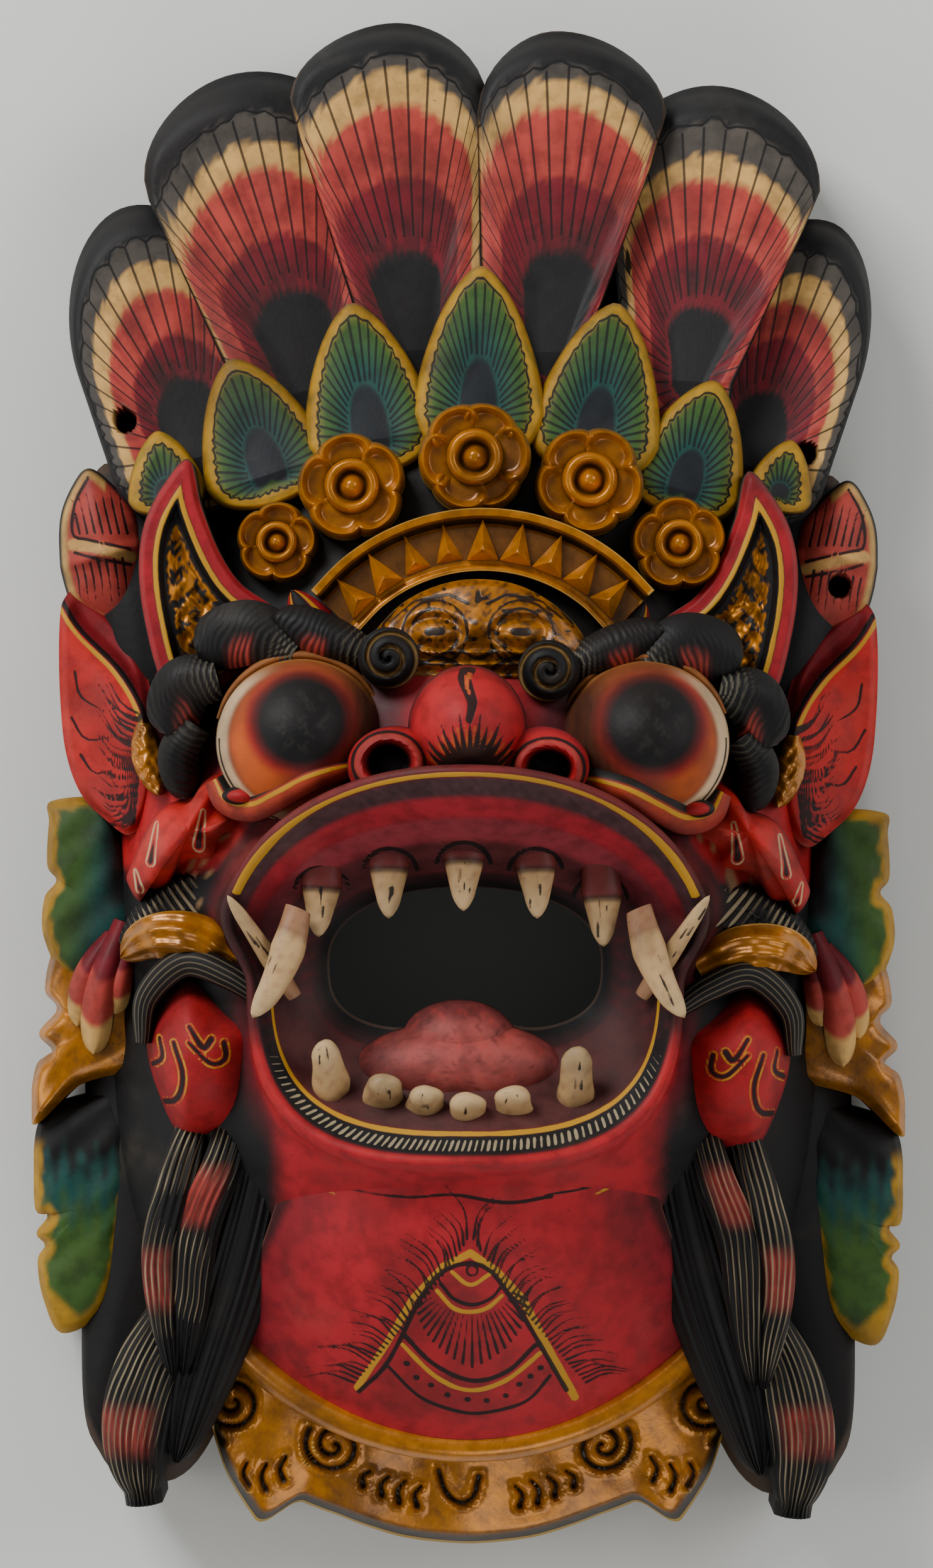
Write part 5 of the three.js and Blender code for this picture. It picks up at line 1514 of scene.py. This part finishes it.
# Front of the throat with its painted ornament.
def throatFront():
    count, steps = int(360 * fineness), int(240 * fineness)
    u = np.linspace(-1, 1, count)
    curve = smoothLine([(0, -114, 116), (0, -146, 104), (0, -180, 70)], steps)
    t = np.linspace(0, 1, steps)[:, None]
    x = u * lerp(55.0, 80.0, t)
    y = curve[:, 1:2] - 31.0 * t * (1 - u ** 2)
    z = curve[:, 2:3] - lerp(30.0, 20.0, t) * u ** 2
    floor = 22.0
    grid = withUnderside(np.dstack([x, y, z]), np.linspace(count - 1, 0, 13).astype(int), floor)
    paint = Paint(grid, paints["throatRed"])
    px, py = paint.x, paint.y
    top = (grid[..., 2] > floor + 1.0).ravel()
    aside = np.abs(px) / lerp(55.0, 80.0, ease(-114, -190, py))
    paint.cover(paints["crimson"], ease(0.55, 0.95, aside) * 0.7)
    paint.cover(paints["black"], ease(0.93, 1.0, aside) * 0.8)
    fanCentre = np.array([1.2, -152.7])
    paint.addField("line", strokeField(px, py, [
        ([(-35.6, -193.7), (-26, -178), (-17.3, -161.9), (-8, -151.5), (0.6, -147)], 2.2, 2.4),
        ([(0.6, -147), (9, -153), (17.4, -162.9), (25, -179), (34.1, -196.9)], 2.4, 2.8),
        (smoothLine([(-5.1, -153.2), (0.6, -157.4), (6.9, -153.7)], 14), 1.3, 1.3),
        (smoothLine([(-9.8, -159.4), (-4.8, -165.0), (0.6, -166.4), (6, -165), (10.6, -161)], 20), 1.4, 1.4),
        (smoothLine([(-20.9, -178), (-10, -189), (0.6, -193.4), (12, -190), (22.7, -181)], 30), 1.4, 1.6)]),
                   top)
    dots = [(-19.7, -184.4), (-16.6, -189.2), (-12, -191.7), (-6.8, -195), (-0.4, -196.6), (5.7, -197),
            (11.8, -195.4), (16, -191.5), (19.6, -188.8), (22.8, -186)]
    strokes = [
        ([(-35, -195), (-25.7, -184.4), (-15, -162), (-8.8, -153.7), (-2.5, -150.6), (1.7, -150.4),
          (6.9, -152.7), (12.1, -160), (18.5, -170.3), (31.4, -194.3)], 1.5, 1.5),
        (arcLine(fanCentre, 1.7, 0, 360, 0.0, 12), 0.8, 0.8),
        ([(-8.8, -156.9), (-4.6, -162), (1.2, -164), (6.9, -162), (10.1, -158.4)], 1.2, 1.2),
        ([(-20.4, -174.5), (-10.9, -184.4), (1.2, -190), (12.2, -187), (21.1, -178.2)], 1.6, 1.6),
        ([(-25.2, -186), (-15.3, -196), (-2.5, -201), (7, -201), (18.7, -197.4), (26, -189)], 1.2, 1.2)]
    strokes += [([dot, (dot[0] + 0.3, dot[1])], 1.8, 1.8) for dot in dots]
    for a in np.linspace(-60, 60, 23):
        way = np.array([math.sin(math.radians(a)), -math.cos(math.radians(a))])
        reach = lerp(32.5, 20.0, abs(a) / 60)
        strokes.append((np.array([fanCentre + way * 15, fanCentre + way * reach]), 0.4, 1.0))
    for side in (-1, 1):
        for i in range(34):
            share = i / 33
            foot = np.array([0.6 + side * lerp(1, 37, share), lerp(-142.5, -192, share ** 0.92)])
            lean = lerp(0.15, 1.35, share) + chance.normal(0, 0.12)
            reach = chance.uniform(11, 19)
            way = np.array([side * math.sin(lean), math.cos(lean)])
            curl = np.array([side * math.sin(lean + 0.9), math.cos(lean + 0.9)])
            tip = foot + way * reach * 0.75 + curl * reach * 0.35
            strokes.append((smoothLine([foot, foot + way * reach * 0.5, tip], 9), 0.85, 0.2))
    paint.inkLines([(smoothLine(points, 30) if len(points) > 3 else points, start, end)
                    for points, start, end in strokes], top)
    creases = [(smoothLine([(-50, -124), (-38, -127.6), (-19, -129.4), (-4.6, -128.4), (12, -131),
                            (26, -129.4)], 40), 0.6, 1.3),
               (smoothLine([(24, -129), (38, -127), (50, -123)], 20), 0.7, 1.4)]
    paint.inkLines(creases, top)
    paint.yellowLines([([(-52, -126), (-42, -129.5)], 1.2, 0.5), ([(40, -129.5), (50, -125)], 0.5, 1.2)], top)
    carve("throat", grid, paint, painted)


throatFront()


# Collar roll, and the carved plate with its cut leaves and spirals under it.
collar = {"y": -109.5, "radius": 104.0, "spread": 49.0, "z": 71.0}
plateEdge = np.array([(-48, 114), (-42, 128), (-34, 142), (-27, 151), (-24, 138), (-18, 138), (-9, 140),
                      (0, 140.5), (9, 140), (18, 138), (24, 138), (27, 151), (34, 142), (42, 128), (48, 114)],
                     float)


def collarParts():
    turns = np.linspace(-collar["spread"], collar["spread"], 13)
    a = np.radians(-90 + turns)
    crest = np.column_stack([collar["radius"] * np.cos(a), collar["y"] + collar["radius"] * np.sin(a),
                             collar["z"] - 14.0 * (turns / collar["spread"]) ** 2])
    grid, local = stripForm(crest, lambda t: 5.2 + 0 * t, 5.0, 30.0, 170, 26)
    carve("collarRoll", grid, goldPaint(grid, 0.15), gilded)
    around, across = int(370 * fineness), int(100 * fineness)
    turn = np.linspace(-48, 48, around)[:, None]
    outer = np.interp(turn.ravel(), plateEdge[:, 0], plateEdge[:, 1])
    outer = np.convolve(np.pad(outer, 2, "edge"), np.ones(5) / 5, "valid")[:, None]
    share = np.linspace(0, 1, across)[None]
    radius = lerp(82.0, outer, share)
    a = np.radians(-90 + turn)
    x, y = radius * np.cos(a), collar["y"] + radius * np.sin(a)
    cuts = []
    for side in (-1, 1):
        for cx, cy, size in ((44, -216, 9.5), (77, -202, 10.0)):
            t = np.linspace(0.6, 3.6 * math.pi, 44)
            r = size * (t / t[-1]) ** 0.8
            cuts.append((np.column_stack([side * cx + r * np.cos(t + 1.9) * side, cy + r * np.sin(t + 1.9)]),
                         1.0, 1.5))
        for cx, cy, tilt, reach in ((16, -233, 12, 7), (21.5, -231.5, 16, 8), (27, -229.5, 20, 7),
                                    (33, -227, 26, 6), (60, -224, 6, 8), (66, -227, 2, 9), (72, -226, -4, 8),
                                    (81, -212, -14, 7)):
            way = np.array([math.sin(math.radians(tilt)), -math.cos(math.radians(tilt))])
            bend = np.array([-way[1], way[0]]) * 1.6
            points = np.array([np.array([cx, cy]) - way * reach * 0.5, np.array([cx, cy]) + bend,
                               np.array([cx, cy]) + way * reach * 0.5])
            points[:, 0] *= side
            cuts.append((smoothLine(points, 9), 0.5, 1.7))
    cuts.append((smoothLine([(-9.7, -224), (-7.5, -231), (-3.1, -235), (1.5, -233), (3.4, -226)], 14), 1.2,
                 1.6))
    field = strokeField(x.ravel(), y.ravel(), cuts).reshape(x.shape)
    z = lerp(58.0, 41.0, share) + 0 * radius
    lobes = 1.2 * np.cos(np.radians(turn) * 21.0) * np.sin(share * math.pi) ** 0.6
    z = z + lobes - 2.4 * ease(1.1, -0.6, field) + 0.8 * np.exp(-((field - 1.6) / 0.8) ** 2)
    z = z - 6.0 * ease(0.90, 1.0, share) ** 1.5
    grid = withUnderside(np.dstack([x, y, z]), np.linspace(across - 1, 0, 5).astype(int), 10.0)
    dark = np.ones(grid.shape[:2])
    dark[1:-1, :across] = np.maximum(ease(0.6, -0.2, field), ease(0.90, 0.95, share) + 0 * field)
    paint = goldPaint(grid, 0.3, dark)
    carve("collarPlate", grid, paint, gilded)


collarParts()


# Side locks: twisted black hair with fine cream strands and pink patches.
locks = [
    ([(64, -104, 82), (69, -130, 82), (77, -160, 75), (88, -195, 62), (95, -222, 52)], 14.0, 0.0, None),
    ([(95, -172, 66), (104, -194, 62), (108, -215, 56), (106, -237, 47)], 12.0, 1.0, (-203, -218)),
    ([(72, -99, 76), (78, -122, 86), (86, -143, 83), (89, -168, 76), (92, -192, 66)], 6.8, 0.75,
     (-123, -140)),
    ([(85, -102, 74), (93, -130, 83), (98, -155, 78), (95, -192, 68)], 6.8, 1.0, (-150, -168)),
]


def hairLocks(word, side):
    for number, (crest, half, strands, pink) in enumerate(locks, 1):
        tip = half * (0.5 if number == 2 else 0.12)
        grid, local = stripForm(mirrored(crest, side), leafWidth(half, 0.7, 0.45, 2.0, tip), half * 0.5, 12.0,
                                190, 70, lambda u, t: 0.5 * np.cos(u * half * 2.4) * (1 - u ** 4))
        paint = Paint(grid, paints["black"])
        outward = local["u"] * -side
        pitch, t = 2.1, local["t"]
        phase = local["u"] * half / pitch + 0.16 * waver(paint.x, paint.y, 21.0, number) + 2.4 * t
        fading = ease(0.02, 0.15, t) * ease(1.0, 0.86, t) * ease(-0.55, -0.1, 0.35 - outward)
        fading = fading * ease(-0.75, -0.1, waver(paint.x * 0.5, paint.y, 36.0, number))
        width = np.where(local["top"], 0.29 * strands * fading, 0.0) - 0.14 * (strands * fading < 0.1)
        paint.barbs(phase, pitch, width, 0.6 + 0.3 * waver(paint.x, paint.y, 23.0, number))
        if pink:
            near = ease(pink[1] - 4, pink[1] + 3, paint.y) * ease(pink[0] + 4, pink[0] - 3, paint.y)
            stripes = 0.5 + 0.5 * np.cos(phase * 2 * math.pi)
            near = near * ease(-0.5, 0.1, 0.2 - outward)
            paint.cover(paints["pinkRed"] * 0.9, near * (0.35 + 0.65 * stripes))
        carve(word + "Lock" + str(number), grid, paint, painted)


# Feathered leaves at the edges: green above, gilded in the middle, green and yellow below.
sideLeaves = {
    "Top": ([(118, -8), (136, -7), (137, -14), (137.5, -28), (134.5, -33), (138.5, -39), (138.5, -52),
             (130, -66), (112, -66), (106, -48), (110, -30)], (124, -38), 42, 52),
    "Gilt": ([(133, -52), (138.5, -68), (134.5, -75), (140.5, -83), (136, -89), (141.5, -94), (142.4, -113),
              (127, -100), (108, -94), (102, -84), (104, -64), (116, -56)], (122, -80), 40, 50),
    "Low": ([(141, -112), (142.5, -140), (138, -143), (142, -149), (139, -153), (141.5, -158), (139.5, -171),
             (133, -182), (118, -172), (112, -145), (108, -118), (112, -100), (126, -104)], (125, -140), 33,
            43),
}
halfBreadth = 142.8


def sideLeaf(word, side, key, outline, middle, edge, top):
    outline = smoothLine(mirrored(outline, side), 120, closed=True)
    outline[:, 0] = np.clip(outline[:, 0], -halfBreadth, halfBreadth)
    base = mirrored([middle], side)[0]

    def height(x, y, gap, share):
        ribs = np.cos(((y - base[1]) + 0.9 * (x * side - middle[0])) * 0.42)
        domed = lerp(top, 0.5 * (top + edge), share ** 4)
        return domed + 0.28 * ribs * ease(2, 6, gap) - 3.2 * ease(2.6, 0, gap)

    grid, local = padForm(outline, base, height, 8.0, 210, 40)
    if key == "Gilt":
        paint = goldPaint(grid, 0.35)
        paint.cover(paints["bronze"], ease(0.3, 0.9, waver(paint.x, paint.y, 18.0)) * 0.5)
    else:
        paint = Paint(grid, paints["teal"])
        x, y = paint.x * side, paint.y - (base[1] - middle[1])
        low = y - middle[1]
        streak = 0.5 + 0.35 * np.cos((x - middle[0]) * 1.15 + 1.0) + 0.3 * waver(x, y, 7.0, 1.0)
        green = ease(14.0, -6.0, low + 8.0 * streak) if key == "Low" else ease(118, 130, x + 0.15 * low)
        paint.cover(paints["leafGreen"], green)
        dark = ease(12, 26, low + 9.0 * streak) if key == "Low" else ease(122, 114, x) * ease(-46, -38, y)
        paint.cover(paints["black"], dark)
        yellow = ease(4.6, 2.6, local["gap"] + 0.8 * waver(paint.x, paint.y, 7.0))
        if key == "Low":
            yellow = np.maximum(yellow * ease(24, 16, low), ease(-34, -38, low - 0.9 * np.abs(x - 127)))
        else:
            yellow = yellow * ease(120, 128, x)
        paint.cover(leafYellow, yellow * local["top"])
        paint.cover(paints["charcoal"], ~local["top"])
    carve(word + "SideLeaf" + key, grid, paint, gilded if key == "Gilt" else painted)


def sideParts(word, side):
    hairLocks(word, side)
    for key, (outline, middle, edge, top) in sideLeaves.items():
        sideLeaf(word, side, key, outline, middle, edge, top)
    feather = Carving(word + "PinkFeather")
    plumes = [([(116, -50, 54), (124, -64, 58), (127, -80, 54)], 4.4),
              ([(110, -50, 54), (113, -66, 60), (114.5, -76, 56)], 4.0),
              ([(112, -46, 56), (119, -68, 62), (121.5, -89, 56)], 5.2)]
    for crest, half in plumes:
        grid, local = stripForm(mirrored(crest, side), leafWidth(half, 0.6, 0.7, 2.2, 0.8), 4.0, 30.0, 90, 44)
        paint = Paint(grid, paints["crimson"])
        lobe = local["t"] + 0.10 * np.abs(local["u"]) ** 2
        paint.cover(paints["pinkRed"], ease(0.42, 0.50, lobe))
        paint.cover(paints["cream"], ease(0.76, 0.83, lobe))
        feather.add(grid, paint)
    grid, local = stripForm(mirrored([(118, -26, 50), (121, -33, 52), (125, -41, 49)], side),
                            leafWidth(3.4, 0.4, 0.5, 2.0), 2.0, 30.0, 50, 30)
    paint = Paint(grid, paints["red"])
    paint.cover(paints["mustard"], ease(0.5, 0.7, np.abs(local["u"])))
    feather.add(grid, paint)
    feather.build(painted)


for word, side in (("left", -1), ("right", 1)):
    sideParts(word, side)


# Teeth: each is a tapered, slightly flattened peg with a rounded tip.
teeth = {}
for number, (x, y) in enumerate([(-46, -33), (-24.5, -27), (-1.5, -24.5), (21, -27), (41.5, -36)], 1):
    teeth["upper_tooth_" + str(number)] = (
        (x, y + 5.0, 112 - abs(x) * 0.20), (x * 1.02, y - 15.5, 117 - abs(x) * 0.26), (5.8, 4.4))
for word, side in (("left", -1), ("right", 1)):
    teeth[word + "_fang"] = ((side * 55, -44, 112), (side * 67, -73, 120), (6.0, 3.2))
    teeth[word + "_tusk"] = ((side * 57, -63, 104), (side * 75, -35, 116), (3.4, 2.6))
lowerTeeth = [(-43, -95, 8), (-26.5, -98, 5), (-13.5, -101.5, 5), (-0.5, -103.5, 5), (14, -101.5, 5.2),
              (33, -97, 8)]
for number, (x, y, half) in enumerate(lowerTeeth, 1):
    tall = half > 6
    rise = 15.0 if tall else 6.5
    teeth["lower_tooth_" + str(number)] = (
        (x, y - 2.0, 110 - abs(x) * 0.12), (x * (1.04 if tall else 0.99), y + rise, 121 - abs(x) * 0.12),
        (5.4, 4.6) if tall else (5.6, 3.4))

# Width of a tooth at its root, a third of the way, near its tip and at its tip, as shares of its size.
toothProfiles = {"upper": [1.0, 1.12, 0.62, 0.3], "slim": [1.0, 1.08, 0.86, 0.5],
                 "broad": [0.95, 1.1, 0.98, 0.74], "side": [0.7, 0.92, 0.62, 0.34]}


def toothPiece(name, root, tip, half):
    start, end = np.array(root, float), np.array(tip, float)
    axis = (end - start) / np.linalg.norm(end - start)
    across = np.cross((0, 0, 1), axis)
    across /= np.linalg.norm(across)
    through = np.cross(axis, across)
    start = start - axis * 5.0
    steps, around = int(40 * fineness), int(44 * fineness)
    t = np.linspace(0, 1, steps)
    upper, lower = name.startswith("upper"), name.startswith("lower")
    form = "side"
    if upper:
        form = "upper"
    elif lower:
        form = "slim" if half[0] < 5.5 else "broad"
    share = np.interp(t, [0, 0.35, 0.8, 1], toothProfiles[form])
    share = share * np.sqrt(np.clip(1 - np.clip((t - 0.84) / 0.16, 0, 1) ** 2, 0, 1))
    a = np.linspace(0, 2 * math.pi, around, endpoint=False)
    centre = start + (end - start) * t[:, None]
    ring = (np.cos(a)[:, None] * across * half[0] + np.sin(a)[:, None] * through * half[1])
    uneven = 1.0 + (0.07 if lower else 0.03) * np.cos(3 * a + 5 * t[:, None] + root[0])
    uneven = uneven + (0.05 * np.cos(2 * a + 9 * t[:, None] + 3 * root[0]) if lower else 0.0)
    grid = centre[:, None] + ring[None] * (share[:, None] * uneven)[..., None]
    if "fang" in name:
        sideways = axis[[1, 0]] * (-1, 1) * (2.4 if root[0] < 0 else -2.4)
        grid[..., :2] += sideways * (1 - (2 * t - 1) ** 2)[:, None, None]
    close = np.repeat(grid[:1].mean(axis=1, keepdims=True), around, 1)
    grid = np.concatenate([close, grid])
    t = np.append(0.0, t)
    paint = Paint(grid, srgb(208, 168, 116))
    paint.cover(srgb(150, 96, 70), ease(0.0, 1.2, waver(paint.x, paint.y, 4.0, root[0])) * 0.45)
    along = np.repeat(t[:, None], around, 1).ravel()
    sunk = 0.42 if upper else 0.22
    paint.cover(srgb(118, 38, 44), ease(sunk + 0.03, sunk - 0.03, along) * (0.95 if upper else 0.5))
    paint.cover(srgb(22, 14, 14), np.exp(-((along - sunk) / 0.035) ** 2) * (0.9 if upper else 0.3))
    paint.cover(srgb(226, 196, 148), ease(0.5, 0.95, along) * 0.4)
    marks = []
    for i in range(4):
        k = chance.uniform(0.35, 0.8)
        c = lerp(start, end, k)[:2] + across[:2] * chance.uniform(-0.4, 0.4) * half[0]
        marks.append((np.array([c, c + axis[:2] * chance.uniform(2.0, 5.5)]), 0.8, 0.4))
    paint.inkLines(marks)
    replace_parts(carve(name.title().replace("_", ""), grid, paint, enamel, "tooth_paint"), name)


for name, (root, tip, half) in teeth.items():
    toothPiece(name, root, tip, half)


# Plain pale floor and soft light from the sides.
floorMesh = bpy.data.meshes.new("floor")
floorMesh.from_pydata([(-3, -3, 0), (3, -3, 0), (3, 3, 0), (-3, 3, 0)], [], [(0, 1, 2, 3)])
floor = bpy.data.objects.new("floor", floorMesh)
bpy.context.scene.collection.objects.link(floor)
floorMaterial, floorWhere = newMaterial("pale floor")
finishMaterial(floorWhere, {"Base Color": colourOf(srgb(244, 244, 238)), "Roughness": 0.9})
floorMesh.materials.append(floorMaterial)

lights = [
    ("keyLight", (-0.95, 1.25, 1.15), 0.8, 29.0),
    ("fillLight", (1.35, 0.55, 1.0), 1.0, 9.0),
    ("sideLight", (-1.5, -0.3, 0.9), 0.8, 6.0),
    ("lowLight", (0.4, -1.5, 1.1), 1.0, 7.0),
]
for name, place, size, power in lights:
    data = bpy.data.lights.new(name, "AREA")
    data.size, data.energy = size, power
    lamp = bpy.data.objects.new(name, data)
    lamp.location = place
    aim = -np.array(place) / np.linalg.norm(place)
    lamp.rotation_euler = (math.acos(-aim[2]), 0.0, math.atan2(-aim[0], aim[1]))
    bpy.context.scene.collection.objects.link(lamp)
world = bpy.data.worlds.new("studio")
world.use_nodes = True
world.node_tree.nodes["Background"].inputs["Color"].default_value = (0.98, 0.98, 1.0, 1.0)
world.node_tree.nodes["Background"].inputs["Strength"].default_value = 0.20
bpy.context.scene.world = world

# The camera looks straight down on the mask, as the photograph does: 1.5 m off, with 516.8 mm in its height.
cameraDistance, framedHeight, sensorHeight = 1500.0, 516.8, 36.0
cameraData = bpy.data.cameras.new("camera")
cameraData.sensor_fit = "VERTICAL"
cameraData.sensor_height = sensorHeight
cameraData.lens = sensorHeight * cameraDistance / framedHeight
cameraData.clip_end = 20.0
camera = bpy.data.objects.new("camera", cameraData)
camera.location = (-0.0006, -0.0005, 1.53)
bpy.context.scene.collection.objects.link(camera)
bpy.context.scene.camera = camera
print("stage set")
